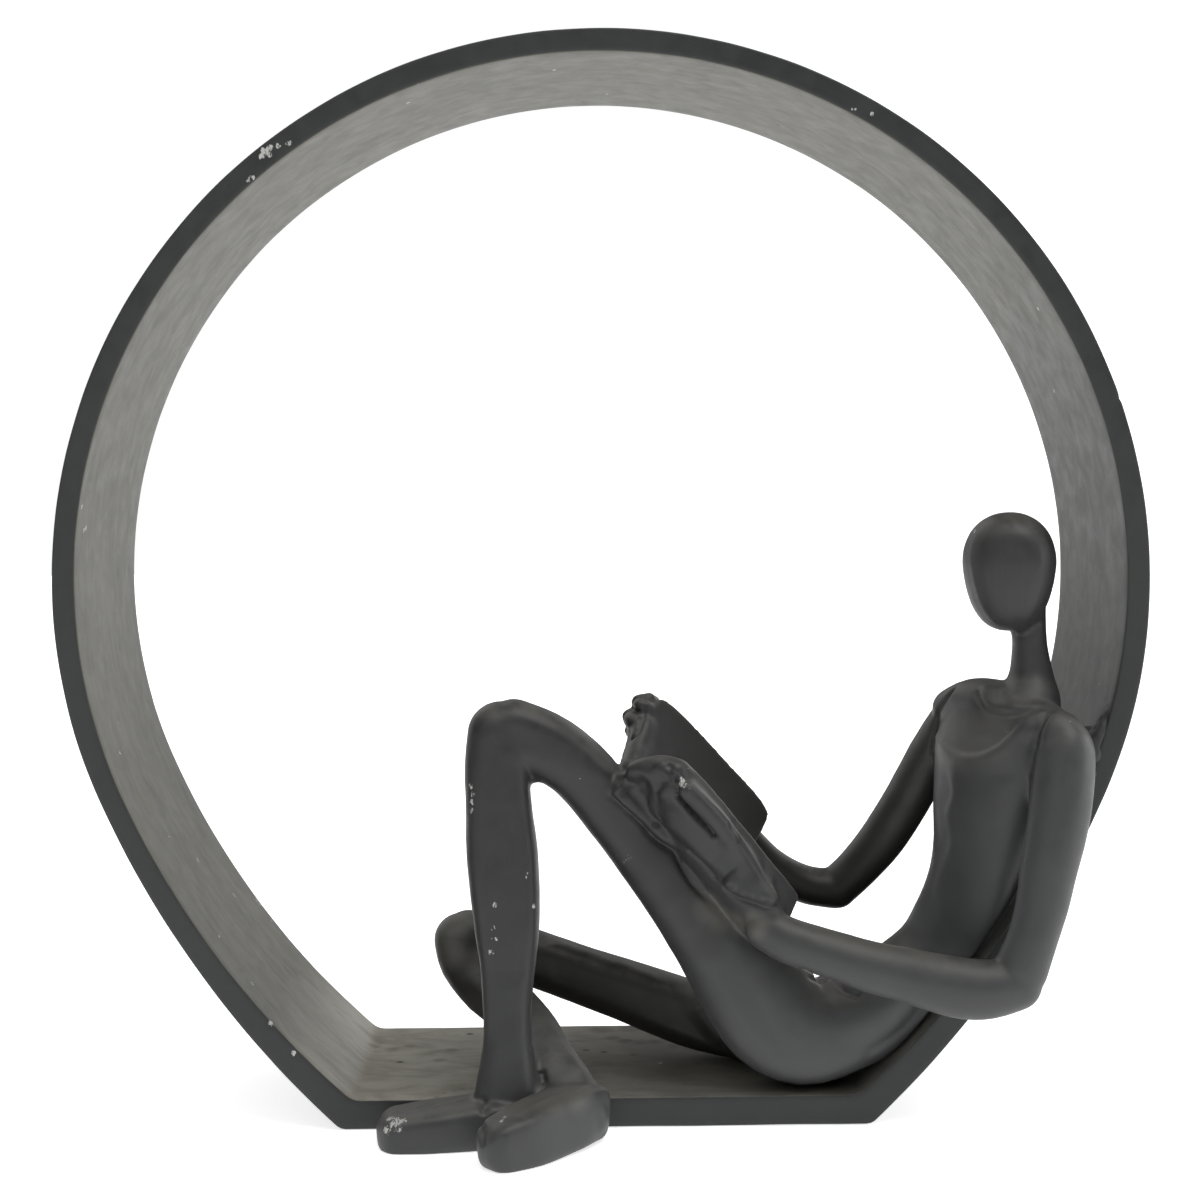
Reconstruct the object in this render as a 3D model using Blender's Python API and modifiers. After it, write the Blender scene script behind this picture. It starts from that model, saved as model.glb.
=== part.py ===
"""Resin reading figure: a faceless seated reader with an open book, in a flat-bottomed ring frame.

X runs to the right, Y away from the viewer and Z up, in metres. The origin is on the ground, under
the middle of the ring's base. The reader faces -X, turned a little to the viewer, and leans its near
shoulder on the ring's right wall. Its feet stand on the ground in front of the base.
"""

from math import atan2, cos, pi, radians, sin, sqrt, tau

import bmesh
import bpy
from mathutils import Matrix, Vector

# Ring frame
RING_RADIUS = 0.1325
RING_CENTRE_HEIGHT = 0.1327
RING_WALL = 0.0055
RING_DEPTH = 0.070
FLANK_START = radians(24)
FLANK_FOOT_WALL = 0.0074
BASE_LENGTH = 0.1298
BASE_THICKNESS = 0.0073
BASE_CORNER_ROUND = 0.0014
RING_EDGE_EASE = 0.0005
ARC_STEP = radians(3.75)
CORNER_STEPS = 4
SHARP_ANGLE = radians(35)
WELD_DISTANCE = 1e-6

# Reader, whose pose and proportions are drawn in millimetres at a seated height of 142 mm
SEATED_HEIGHT = 0.142
DRAWN_HEIGHT = 142.0
DRAWN_SEAT = 7.3
DRAWN_WALL = 121.4
SHOULDER_HEIGHT = 0.088

# Fit of the reader to the ring
BOND_GAP = 0.0003

# The chest is turned a little to the viewer
CHEST_TURN = radians(34)
CHEST_WIDTH = (sin(CHEST_TURN), -cos(CHEST_TURN), 0.0)
CHEST_FORWARD = (-cos(CHEST_TURN), -sin(CHEST_TURN), 0.0)

# The outer side of the book's near half faces down and to the viewer
NEAR_PAGE_OUT = (-0.38, -0.74, -0.56)

# Forms of the reader. A dome's steps are how far out of the end each lies and how much of its girth is left
SIDES = 20
DOME = ((0.35, 0.94), (0.68, 0.73), (0.9, 0.42))
LEG_SQUARENESS = 2.5
FOOT_SQUARENESS = 5.0
HEAD_SEGMENTS = 24
HEAD_RINGS = 18
HEAD_TAPER = 0.18
CHIN_BLUNTNESS = 2.6
PAGE_CUTS = 7
PAGE_CORNER_PULL = 0.08
FAR_HALF_THICK = 6.0
FAR_HALF_BOW = -2.0
NEAR_HALF_THICK = 7.4
NEAR_HALF_BOW = -1.2

# The cast skin over them
SKIN_VOXEL = 0.0010
SKIN_SMOOTHING = 5
SKIN_SHARE = 0.052

PAINT_COLOUR = (0.036, 0.036, 0.035, 1.0)
PAINT_ROUGHNESS = 0.5

FRONT = -RING_DEPTH / 2
SCALE = SEATED_HEIGHT / DRAWN_HEIGHT
RING_CENTRE = Vector((0.0, RING_CENTRE_HEIGHT))


def clear_scene():
    for obj in list(bpy.data.objects):
        bpy.data.objects.remove(obj, do_unlink=True)


def new_collection(name, parent):
    collection = bpy.data.collections.new(name)
    parent.children.link(collection)
    return collection


def paint_material():
    material = bpy.data.materials.new("graphite_paint")
    material.use_nodes = True
    shader = material.node_tree.nodes["Principled BSDF"]
    shader.inputs["Base Color"].default_value = PAINT_COLOUR
    shader.inputs["Roughness"].default_value = PAINT_ROUGHNESS
    shader.inputs["Metallic"].default_value = 0.0
    return material


# Ring outline, in the plane of X and Z

def arc(centre, radius, start, end):
    """Points along an arc, both ends included."""
    steps = max(2, round(abs(end - start) / ARC_STEP))
    angles = [start + (end - start) * i / steps for i in range(steps + 1)]
    return [centre + radius * Vector((cos(a), sin(a))) for a in angles]


def flank_arc(radius, foot):
    """Centre and radius of the arc that leaves the ring's circle smoothly and ends at foot."""
    radial = Vector((cos(-FLANK_START), sin(-FLANK_START)))
    leave = RING_CENTRE + radius * radial
    chord = foot - leave
    flank_radius = -chord.length_squared / (2 * chord.dot(radial))
    return leave - flank_radius * radial, flank_radius


def right_side(radius, foot):
    """The outline's right half, from the foot of its flank up to the top of the circle."""
    centre, flank_radius = flank_arc(radius, foot)
    start = atan2(foot.y - centre.y, foot.x - centre.x)
    flank = arc(centre, flank_radius, start, -FLANK_START)
    return flank + arc(RING_CENTRE, radius, -FLANK_START, pi / 2)[1:]


def mirrored(points):
    return [Vector((-p.x, p.y)) for p in reversed(points)]


def rounded(before, corner, after, distance):
    """A corner eased from distance before it to the same distance after it."""
    start = corner + (before - corner).normalized() * distance
    end = corner + (after - corner).normalized() * distance
    eased = []
    for i in range(CORNER_STEPS + 1):
        t = i / CORNER_STEPS
        eased.append((1 - t) ** 2 * start + 2 * t * (1 - t) * corner + t * t * end)
    return eased


def outer_outline():
    foot = Vector((BASE_LENGTH / 2, 0.0))
    side = right_side(RING_RADIUS, foot)
    toe = rounded(-foot, foot, side[1], BASE_CORNER_ROUND)
    side = toe + side[1:]
    return side + mirrored(side)[1:]


def inner_outline(grow=0.0):
    """The opening's outline. A negative grow keeps clear of the wall and the base."""
    centre, flank_radius = flank_arc(RING_RADIUS, Vector((BASE_LENGTH / 2, 0.0)))
    floor = BASE_THICKNESS - grow
    reach = flank_radius - FLANK_FOOT_WALL + grow
    foot_x = centre.x + sqrt(reach**2 - (floor - centre.y) ** 2)
    side = right_side(RING_RADIUS - RING_WALL + grow, Vector((foot_x, floor)))
    return side + mirrored(side)[1:]


def wall_x(height):
    """X of the ring's right inner wall at a height on its circle."""
    return sqrt((RING_RADIUS - RING_WALL) ** 2 - (height - RING_CENTRE.y) ** 2)


def band(name, outlines, thickness, ease, collection):
    """A flat shape in the XZ plane, centred in depth, as a closed mesh."""
    curve = bpy.data.curves.new(name, "CURVE")
    curve.dimensions = "2D"
    curve.fill_mode = "BOTH"
    curve.extrude = thickness / 2 - ease
    curve.bevel_depth = ease
    curve.offset = -ease
    curve.bevel_resolution = 1
    for outline in outlines:
        spline = curve.splines.new("POLY")
        spline.points.add(len(outline) - 1)
        for point, place in zip(spline.points, outline):
            point.co = (place.x, place.y, 0.0, 1.0)
        spline.use_cyclic_u = True
    drawn = bpy.data.objects.new(name + "_curve", curve)
    collection.objects.link(drawn)
    drawn.rotation_euler = (pi / 2, 0.0, 0.0)
    bpy.context.view_layer.update()
    mesh = bpy.data.meshes.new_from_object(drawn.evaluated_get(bpy.context.evaluated_depsgraph_get()))
    mesh.transform(drawn.matrix_world)
    bpy.data.objects.remove(drawn, do_unlink=True)
    weld(mesh)
    obj = bpy.data.objects.new(name, mesh)
    collection.objects.link(obj)
    return obj


def weld(mesh):
    work = bmesh.new()
    work.from_mesh(mesh)
    bmesh.ops.remove_doubles(work, verts=work.verts, dist=WELD_DISTANCE)
    bmesh.ops.recalc_face_normals(work, faces=work.faces)
    work.to_mesh(mesh)
    work.free()


# Places on the reader

def place(x, depth, z):
    """A drawn place, in millimetres from the ring's middle, behind its front face and above the ground."""
    wall = wall_x(BASE_THICKNESS + SHOULDER_HEIGHT)
    seat = BASE_THICKNESS + (z - DRAWN_SEAT) * SCALE
    return Vector((wall + (x - DRAWN_WALL) * SCALE, FRONT + depth * SCALE, seat))


def on_ground(x, depth, z):
    """Like place, but with the height taken from the ground that the feet stand on."""
    spot = place(x, depth, z)
    spot.z = z * SCALE
    return spot


def flowing(rows):
    """Rows of vectors with two more between each pair, on a smooth curve through them all."""
    found = []
    last = len(rows) - 1
    for i in range(last):
        around = [rows[min(max(j, 0), last)] for j in (i - 1, i, i + 1, i + 2)]
        for t in (0.0, 1 / 3, 2 / 3):
            row = []
            for p0, p1, p2, p3 in zip(*around):
                bend = 2 * p0 - 5 * p1 + 4 * p2 - p3
                twist = 3 * p1 - p0 - 3 * p2 + p3
                row.append(0.5 * (2 * p1 + (p2 - p0) * t + bend * t**2 + twist * t**3))
            found.append(row)
    return found + [rows[last]]


def section(work, centre, tangent, deep, across_half, deep_half, squareness):
    """One cross-section, as bmesh vertices round its centre."""
    side = (deep - deep.dot(tangent) * tangent).normalized()
    across = tangent.cross(side).normalized()
    power = 2.0 / squareness
    verts = []
    for i in range(SIDES):
        u, v = cos(tau * i / SIDES), sin(tau * i / SIDES)
        u = abs(u) ** power * (1 if u >= 0 else -1)
        v = abs(v) ** power * (1 if v >= 0 else -1)
        verts.append(work.verts.new(centre + across * (u * across_half) + side * (v * deep_half)))
    return verts


def domed(ring, side):
    """Ever smaller rings that round off an end, from it outwards."""
    centre, way, halves = ring
    reach = side * min(halves)
    return [(centre + reach * out * way, way, [half * girth for half in halves]) for out, girth in DOME]


def limb(work, stations, deep=(0, 1, 0), squareness=2.0):
    """A closed loft through stations of (place, half across, half deep), with domed ends."""
    rows = flowing([(*spot, across * SCALE, thick * SCALE) for spot, across, thick in stations])
    centres = [Vector(row[:3]) for row in rows]
    ahead = centres[1:] + centres[-1:]
    behind = centres[:1] + centres[:-1]
    ways = [(a - b).normalized() for a, b in zip(ahead, behind)]
    rings = list(zip(centres, ways, [row[3:] for row in rows]))
    rings = domed(rings[0], -1)[::-1] + rings + domed(rings[-1], 1)
    deep = Vector(deep)
    loops = [section(work, centre, way, deep, *halves, squareness) for centre, way, halves in rings]
    for low, high in zip(loops, loops[1:]):
        for i in range(SIDES):
            j = (i + 1) % SIDES
            work.faces.new((low[i], low[j], high[j], high[i]))
    work.faces.new(reversed(loops[0]))
    work.faces.new(loops[-1])


def drawn(stations, where=place):
    return [(where(*s[:3]), s[3], s[4]) for s in stations]


def egg(work, centre, radii):
    """An egg with its blunt end down, from a sphere."""
    made = bmesh.ops.create_uvsphere(work, u_segments=HEAD_SEGMENTS, v_segments=HEAD_RINGS, radius=1.0)
    for vert in made["verts"]:
        height = vert.co.z
        power = 2.0 if height > 0 else CHIN_BLUNTNESS
        girth = max(0.0, 1 - abs(height) ** power) ** (1 / power) * (1 + HEAD_TAPER * height)
        around = Vector((vert.co.x, vert.co.y)).normalized() * girth
        vert.co = centre + Vector((around.x * radii[0], around.y * radii[1], height * radii[2])) * SCALE


def slab(work, corners, thickness, bow):
    """A sheet of even thickness over four corner places, bowed along its width like an open page."""
    spine_a, spine_b, edge_a, edge_b = corners
    normal = (spine_b - spine_a).cross(edge_a - spine_a).normalized()
    sheet = bmesh.new()
    bmesh.ops.create_cube(sheet, size=2.0)
    bmesh.ops.subdivide_edges(sheet, edges=sheet.edges, cuts=PAGE_CUTS, use_grid_fill=True)
    for vert in sheet.verts:
        along, across, face = vert.co
        pull = 1 - PAGE_CORNER_PULL * (along * across) ** 4
        u, v = (1 + along * pull) / 2, (1 + across * pull) / 2
        spot = spine_a.lerp(spine_b, u).lerp(edge_a.lerp(edge_b, u), v)
        rise = bow * sin(pi * v) + face * thickness / 2
        vert.co = spot + normal * rise * SCALE
    mesh = bpy.data.meshes.new("sheet")
    sheet.to_mesh(mesh)
    sheet.free()
    work.from_mesh(mesh)
    bpy.data.meshes.remove(mesh)


# The reader's forms. Near means the viewer's side.

def head(work):
    egg(work, place(100.3, 10.0, 134.6), (11.3, 12.2, 14.7))
    neck = [
        (104.0, 11.0, 128.0, 5.6, 5.6),
        (105.6, 12.0, 119.5, 4.3, 4.8),
        (106.0, 12.0, 113.0, 4.7, 5.2),
        (106.2, 12.0, 108.0, 5.8, 6.6),
        (105.5, 11.5, 103.0, 8.2, 9.5),
        (103.0, 11.5, 98.0, 9.0, 12.0),
    ]
    limb(work, drawn(neck))


def torso(work):
    yoke = [
        (90.2, 27.0, 99.2, 5.4, 6.2),
        (93.8, 20.5, 101.6, 5.8, 7.2),
        (98.5, 13.0, 101.0, 6.4, 8.2),
        (104.5, 5.0, 98.0, 6.6, 8.0),
        (109.5, -1.0, 95.0, 6.2, 7.0),
    ]
    limb(work, drawn(yoke), deep=CHEST_FORWARD)
    spine = [
        (98.5, 12.0, 98.0, 8.0, 16.5),
        (97.0, 12.0, 91.0, 9.0, 18.0),
        (96.2, 12.3, 84.0, 9.4, 17.5),
        (95.0, 12.6, 75.0, 9.4, 16.0),
        (94.0, 13.2, 66.0, 8.8, 14.5),
        (92.0, 14.0, 57.0, 8.0, 13.5),
        (88.6, 15.0, 48.0, 7.2, 13.2),
        (84.0, 16.5, 38.5, 7.0, 14.0),
        (76.0, 18.0, 30.5, 7.6, 15.5),
        (65.0, 19.5, 23.0, 8.6, 18.5),
        (55.0, 20.0, 18.5, 9.4, 19.5),
    ]
    limb(work, drawn(spine), deep=CHEST_WIDTH)
    shoulder_back = [
        (106.0, 8.0, 92.5, 6.0, 7.0),
        (113.5, 9.0, 90.8, 5.6, 7.5),
        (121.0, 10.5, 89.6, 6.5, 9.0),
    ]
    limb(work, drawn(shoulder_back))


def near_arm(work):
    upper = [
        (109.8, -3.0, 95.0, 6.4, 6.6),
        (110.6, -4.5, 91.5, 7.4, 7.4),
        (109.5, -7.0, 83.4, 7.6, 7.4),
        (108.0, -9.0, 74.6, 7.4, 7.0),
        (105.7, -11.0, 65.8, 6.9, 6.8),
        (103.8, -12.0, 56.9, 6.3, 6.4),
        (101.4, -13.0, 48.8, 5.9, 6.2),
        (98.4, -13.5, 41.0, 6.4, 6.4),
    ]
    limb(work, drawn(upper))
    lower = [
        (97.0, -13.5, 37.6, 6.4, 6.4),
        (91.0, -13.5, 36.3, 7.0, 6.5),
        (85.0, -13.0, 36.3, 7.3, 6.5),
        (78.4, -12.0, 37.6, 7.0, 6.4),
        (70.8, -10.0, 39.2, 6.5, 6.2),
        (63.2, -8.5, 40.8, 6.2, 6.0),
        (56.2, -7.0, 42.9, 5.8, 5.8),
        (44.9, -5.0, 46.2, 5.6, 5.5),
        (38.5, -4.0, 49.4, 5.2, 5.0),
    ]
    limb(work, drawn(lower))
    hand = [
        (38.8, -2.8, 50.0, 6.0, 4.8),
        (34.0, -1.6, 57.0, 7.8, 4.2),
        (28.8, -2.1, 65.2, 9.4, 3.7),
        (23.8, -3.5, 72.6, 9.2, 3.2),
        (19.7, -6.2, 79.6, 7.2, 2.8),
        (17.7, -8.0, 83.5, 4.8, 2.6),
    ]
    limb(work, drawn(hand), deep=NEAR_PAGE_OUT)


def far_arm(work):
    upper = [
        (92.0, 27.0, 100.2, 4.6, 5.6),
        (89.4, 29.0, 95.2, 5.8, 6.4),
        (84.8, 32.0, 86.6, 6.0, 6.4),
        (79.6, 35.0, 75.5, 6.1, 6.2),
        (73.6, 37.0, 65.0, 6.0, 6.0),
        (67.0, 39.0, 56.5, 5.6, 5.8),
        (61.5, 40.0, 51.0, 5.4, 5.6),
    ]
    limb(work, drawn(upper))
    lower = [
        (61.5, 40.0, 50.6, 5.2, 5.4),
        (54.0, 39.5, 51.6, 5.0, 5.4),
        (47.5, 38.5, 54.6, 4.9, 5.2),
        (40.5, 37.0, 60.0, 4.9, 5.0),
        (30.4, 34.5, 72.0, 4.8, 4.6),
        (20.0, 31.0, 85.0, 4.4, 4.0),
        (12.0, 26.5, 96.0, 3.6, 3.6),
    ]
    limb(work, drawn(lower))
    for lift, out in ((0.0, 8.0), (3.6, 7.4), (7.2, 9.8)):
        finger = [
            (out + 3.0, 26.0, 94.0 + lift, 2.2, 2.2),
            (out - 0.6, 22.0, 94.5 + lift, 2.2, 2.4),
            (out + 1.2, 18.5, 93.5 + lift, 1.9, 2.0),
        ]
        limb(work, drawn(finger))


def book(work):
    spine_top = place(4.6, 1.5, 84.0)
    spine_end = place(30.0, 10.5, 54.6)
    far = (spine_top, spine_end, place(12.6, 24.0, 104.2), place(42.8, 32.8, 70.9))
    slab(work, far, FAR_HALF_THICK, FAR_HALF_BOW)
    near = (spine_top, spine_end, place(19.6, -9.0, 88.2), place(48.3, 1.2, 52.0))
    slab(work, near, NEAR_HALF_THICK, NEAR_HALF_BOW)
    back = [
        (5.2, 1.5, 82.0, 4.8, 5.0),
        (16.0, 5.0, 69.0, 4.8, 5.0),
        (28.5, 9.5, 55.2, 4.6, 4.8),
    ]
    limb(work, drawn(back))
    far_page_end = [(6.8, 6.0, 87.0, 2.8, 2.8), (8.8, 12.0, 91.5, 2.8, 2.8), (10.6, 17.0, 96.5, 2.8, 2.8)]
    limb(work, drawn(far_page_end))
    near_page_end = [(8.8, -1.5, 87.0, 3.0, 3.2), (13.5, -4.0, 88.4, 3.2, 3.4), (17.6, -6.5, 87.8, 3.2, 3.4)]
    limb(work, drawn(near_page_end))


def near_leg(work):
    hip = [
        (56.0, 10.5, 22.0, 11.5, 12.0),
        (64.0, 11.5, 25.5, 10.6, 12.3),
        (70.5, 12.5, 29.4, 9.0, 12.0),
        (75.0, 13.5, 32.6, 7.2, 11.0),
    ]
    limb(work, drawn(hip))
    thigh = [
        (57.5, 11.5, 21.5, 11.5, 12.5),
        (49.4, 10.0, 21.0, 13.4, 12.2),
        (41.8, 9.5, 25.2, 14.0, 11.8),
        (34.6, 9.0, 34.2, 12.8, 10.8),
        (27.0, 8.8, 43.9, 10.5, 9.6),
        (18.6, 8.4, 55.0, 8.8, 9.0),
        (9.8, 7.8, 66.6, 8.0, 8.4),
        (1.2, 7.0, 78.2, 7.8, 8.0),
        (-6.6, 6.0, 87.6, 7.9, 8.0),
        (-14.6, 5.0, 93.2, 8.3, 8.2),
        (-22.0, 4.2, 96.0, 8.6, 8.2),
    ]
    limb(work, drawn(thigh), squareness=LEG_SQUARENESS)
    shin = [
        (-24.6, 4.0, 96.0, 8.6, 8.2),
        (-25.9, 3.0, 88.0, 8.0, 8.0),
        (-25.7, 2.0, 80.2, 8.0, 7.9),
        (-24.9, 1.0, 68.1, 8.7, 8.4),
        (-24.3, 0.0, 58.5, 8.5, 8.4),
        (-23.8, -1.0, 49.0, 7.9, 7.6),
        (-23.7, -2.0, 39.4, 6.6, 6.8),
        (-23.8, -3.5, 30.0, 5.9, 6.2),
        (-23.8, -5.0, 21.8, 6.0, 6.2),
    ]
    ankle = [(-24.0, -7.5, 12.0, 7.6, 6.8), (-24.4, -8.5, 5.0, 8.0, 7.0)]
    limb(work, drawn(shin) + drawn(ankle, on_ground), squareness=LEG_SQUARENESS)
    knee_hollow = [(-20.0, 3.5, 86.8, 3.0, 4.0), (-16.0, 4.2, 87.2, 3.0, 4.2), (-12.0, 5.0, 87.0, 3.0, 4.0)]
    limb(work, drawn(knee_hollow))


def near_foot(work):
    foot = [
        (-20.0, -9.5, 4.6, 5.0, 6.5),
        (-26.0, -9.8, 5.0, 5.8, 7.8),
        (-34.0, -10.4, 4.4, 5.6, 8.6),
        (-43.0, -11.2, 3.6, 5.4, 8.8),
        (-50.0, -11.8, 2.8, 5.2, 8.0),
    ]
    limb(work, drawn(foot, on_ground), squareness=FOOT_SQUARENESS)


def far_leg(work):
    thigh = [
        (56.0, 29.0, 18.0, 11.0, 12.5),
        (44.0, 32.0, 17.0, 10.2, 11.5),
        (33.0, 36.0, 17.0, 9.2, 9.6),
        (22.6, 38.0, 18.5, 8.6, 8.6),
        (9.6, 40.0, 22.9, 8.0, 8.0),
        (-3.5, 42.0, 27.2, 7.5, 7.6),
        (-16.6, 43.0, 31.8, 7.3, 7.4),
        (-28.0, 44.0, 35.2, 7.6, 7.4),
        (-35.5, 44.0, 37.0, 8.0, 7.6),
    ]
    limb(work, drawn(thigh), squareness=LEG_SQUARENESS)
    shin = [
        (-37.0, 43.5, 37.2, 7.6, 7.4),
        (-35.6, 41.0, 32.0, 7.0, 7.2),
        (-30.0, 36.0, 26.0, 6.5, 6.8),
        (-23.2, 26.0, 22.8, 6.3, 6.4),
        (-18.0, 14.0, 19.2, 6.2, 6.8),
        (-14.8, 2.0, 16.0, 6.4, 7.0),
    ]
    ankle = [(-8.8, -7.0, 9.8, 6.8, 6.8), (-5.0, -11.0, 5.6, 5.6, 5.6)]
    limb(work, drawn(shin) + drawn(ankle, on_ground), deep=(1, 0, 0), squareness=LEG_SQUARENESS)


def far_foot(work):
    instep = [(-20.0, -4.0, 16.0, 4.5, 5.0), (-17.6, -6.0, 11.0, 4.5, 5.5), (-14.8, -9.0, 6.5, 5.0, 5.5)]
    limb(work, drawn(instep, on_ground))
    foot = [
        (-4.0, -9.5, 6.8, 6.6, 4.8),
        (-8.0, -13.5, 7.2, 7.0, 6.2),
        (-13.5, -19.0, 6.6, 7.0, 6.6),
        (-20.0, -25.5, 5.6, 6.6, 6.6),
        (-24.8, -29.5, 4.8, 6.2, 5.6),
    ]
    limb(work, drawn(foot, on_ground), deep=(1, -1, 0), squareness=FOOT_SQUARENESS)


FORMS = (head, torso, near_arm, far_arm, book, near_leg, near_foot, far_leg, far_foot)


def block_cutter(name, low, high, collection):
    """A plain block between two corners, as a cutter."""
    work = bmesh.new()
    size = high - low
    placed = Matrix.Translation((low + high) / 2) @ Matrix.Diagonal((*size, 1.0))
    bmesh.ops.create_cube(work, size=1.0, matrix=placed)
    mesh = bpy.data.meshes.new(name)
    work.to_mesh(mesh)
    work.free()
    obj = bpy.data.objects.new(name, mesh)
    collection.objects.link(obj)
    return obj


def hide(obj):
    obj.hide_render = True
    obj.display_type = "WIRE"


def ring_room_cutter(collection):
    """Everything at the ring's depth that isn't well inside its opening."""
    reach = 2 * RING_RADIUS
    corners = ((-reach, -reach), (reach, -reach), (reach, 2 * reach), (-reach, 2 * reach))
    outside = [Vector(corner) for corner in corners]
    room = inner_outline(grow=-BOND_GAP)
    cutter = band("ring_room", [outside, room], RING_DEPTH + 2 * BOND_GAP, 0.0, collection)
    hide(cutter)
    return cutter


def ground_cutter(collection):
    reach = 2 * RING_RADIUS
    low, high = Vector((-reach, -reach, -reach)), Vector((reach, reach, 0.0))
    cutter = block_cutter("ground", low, high, collection)
    hide(cutter)
    return cutter


def reading_figure(parts, cutters, material):
    work = bmesh.new()
    for form in FORMS:
        form(work)
    bmesh.ops.recalc_face_normals(work, faces=work.faces)
    mesh = bpy.data.meshes.new("reading_figure")
    work.to_mesh(mesh)
    work.free()
    obj = bpy.data.objects.new("reading_figure", mesh)
    parts.objects.link(obj)
    mesh.materials.append(material)
    skin = obj.modifiers.new("one cast skin", "REMESH")
    skin.mode = "VOXEL"
    skin.voxel_size = SKIN_VOXEL
    skin.use_smooth_shade = True
    soft = obj.modifiers.new("soft hollows", "SMOOTH")
    soft.factor = 0.5
    soft.iterations = SKIN_SMOOTHING
    fewer = obj.modifiers.new("fewer faces", "DECIMATE")
    fewer.ratio = SKIN_SHARE
    for label, cutter in (("room", ring_room_cutter(cutters)), ("ground", ground_cutter(cutters))):
        cut = obj.modifiers.new(label, "BOOLEAN")
        cut.operation = "DIFFERENCE"
        cut.object = cutter
    return obj


def ring_frame(parts, material):
    ring = band("ring_frame", [outer_outline(), inner_outline()], RING_DEPTH, RING_EDGE_EASE, parts)
    ring.data.materials.append(material)
    ring.data.shade_smooth()
    ring.data.set_sharp_from_angle(angle=SHARP_ANGLE)
    return ring


def main():
    clear_scene()
    scene = bpy.context.scene
    parts = new_collection("reading_figure_sculpture", scene.collection)
    cutters = new_collection("cutters", scene.collection)
    material = paint_material()
    ring_frame(parts, material)
    reading_figure(parts, cutters, material)


main()
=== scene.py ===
"""Looks of the resin reading figure: the cast skin of the reader and of its ring, their paint and wear, and
the light and shade painted into that paint.

All lengths are in metres unless a name says otherwise. The reader's forms are the part's own, drawn in
millimetres at a seated height of 142 mm and cast again in a finer skin, which is then worked over with
grooves, ridges, planes and pits. Marks are placed by the photograph's pixels, in a frame of 1200 by 1200,
and dropped on the skin along the camera's rays.
"""

from math import atan2, cos, pi, radians, sin, sqrt, tau

import bmesh
import bpy
import numpy as np
from mathutils import Matrix, Vector, noise
from mathutils.bvhtree import BVHTree


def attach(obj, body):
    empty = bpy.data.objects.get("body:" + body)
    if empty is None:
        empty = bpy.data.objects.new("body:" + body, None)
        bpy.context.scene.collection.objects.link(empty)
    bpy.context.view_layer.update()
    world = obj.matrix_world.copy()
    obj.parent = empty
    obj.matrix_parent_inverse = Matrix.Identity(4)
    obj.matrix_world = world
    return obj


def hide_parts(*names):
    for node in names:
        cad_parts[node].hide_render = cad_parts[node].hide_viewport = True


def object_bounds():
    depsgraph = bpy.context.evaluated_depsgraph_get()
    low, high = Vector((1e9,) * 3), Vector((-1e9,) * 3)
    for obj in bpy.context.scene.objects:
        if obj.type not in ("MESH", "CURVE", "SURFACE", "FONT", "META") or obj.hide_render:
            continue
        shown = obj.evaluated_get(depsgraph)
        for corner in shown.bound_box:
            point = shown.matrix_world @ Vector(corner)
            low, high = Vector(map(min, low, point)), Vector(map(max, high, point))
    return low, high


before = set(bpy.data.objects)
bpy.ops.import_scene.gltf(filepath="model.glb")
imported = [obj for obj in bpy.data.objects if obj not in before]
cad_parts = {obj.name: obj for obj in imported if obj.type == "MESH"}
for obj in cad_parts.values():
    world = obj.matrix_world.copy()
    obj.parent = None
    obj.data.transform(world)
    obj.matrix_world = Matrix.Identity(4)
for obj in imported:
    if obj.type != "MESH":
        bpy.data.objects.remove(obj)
cad_low, cad_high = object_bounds()

# Camera, solved from the photograph
PHOTO_PIXELS = 1200
FOCAL_PIXELS = 2086.0
SENSOR_MM = 36.0
CAMERA_PLACE = Vector((-0.00814, -0.53722, 0.15258))
CAMERA_YAW = radians(0.842)
CAMERA_PITCH = radians(2.714)
CAMERA_ROLL = radians(-0.390)

# Ring frame, as in the part
RING_RADIUS = 0.1325
RING_CENTRE_HEIGHT = 0.1327
RING_WALL = 0.0055
RING_DEPTH = 0.070
FLANK_START = radians(24)
FLANK_FOOT_WALL = 0.0074
BASE_LENGTH = 0.1298
BASE_THICKNESS = 0.0073

# Reader, as in the part
SEATED_HEIGHT = 0.142
DRAWN_HEIGHT = 142.0
DRAWN_SEAT = 7.3
DRAWN_WALL = 121.4
SHOULDER_HEIGHT = 0.088
BOND_GAP = 0.0003
CHEST_TURN = radians(34)
CHEST_WIDTH = (sin(CHEST_TURN), -cos(CHEST_TURN), 0.0)
CHEST_FORWARD = (-cos(CHEST_TURN), -sin(CHEST_TURN), 0.0)
NEAR_PAGE_OUT = (-0.38, -0.74, -0.56)
LEG_SQUARENESS = 2.5
FOOT_SQUARENESS = 5.0
HEAD_TAPER = 0.18
CHIN_BLUNTNESS = 2.6
PAGE_CUTS = 15
PAGE_CORNER_PULL = 0.08
FAR_HALF_THICK = 6.0
FAR_HALF_BOW = -2.0
NEAR_HALF_THICK = 7.4
NEAR_HALF_BOW = -1.2

# The fine skin
SIDES = 40
DOME = ((0.2, 0.98), (0.4, 0.92), (0.6, 0.80), (0.8, 0.60), (0.94, 0.34))
SKIN_VOXEL = 0.00045
SKIN_SMOOTHING = 22
SKIN_MOST_TRIANGLES = 190000
EGG_SEGMENTS = 24
EGG_RINGS = 18

# How strokes fade: at the ends of their line, and how far out of their width they reach
END_FADE = 8.0
END_SHARE = 0.15
STROKE_REACH = 2.5

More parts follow.
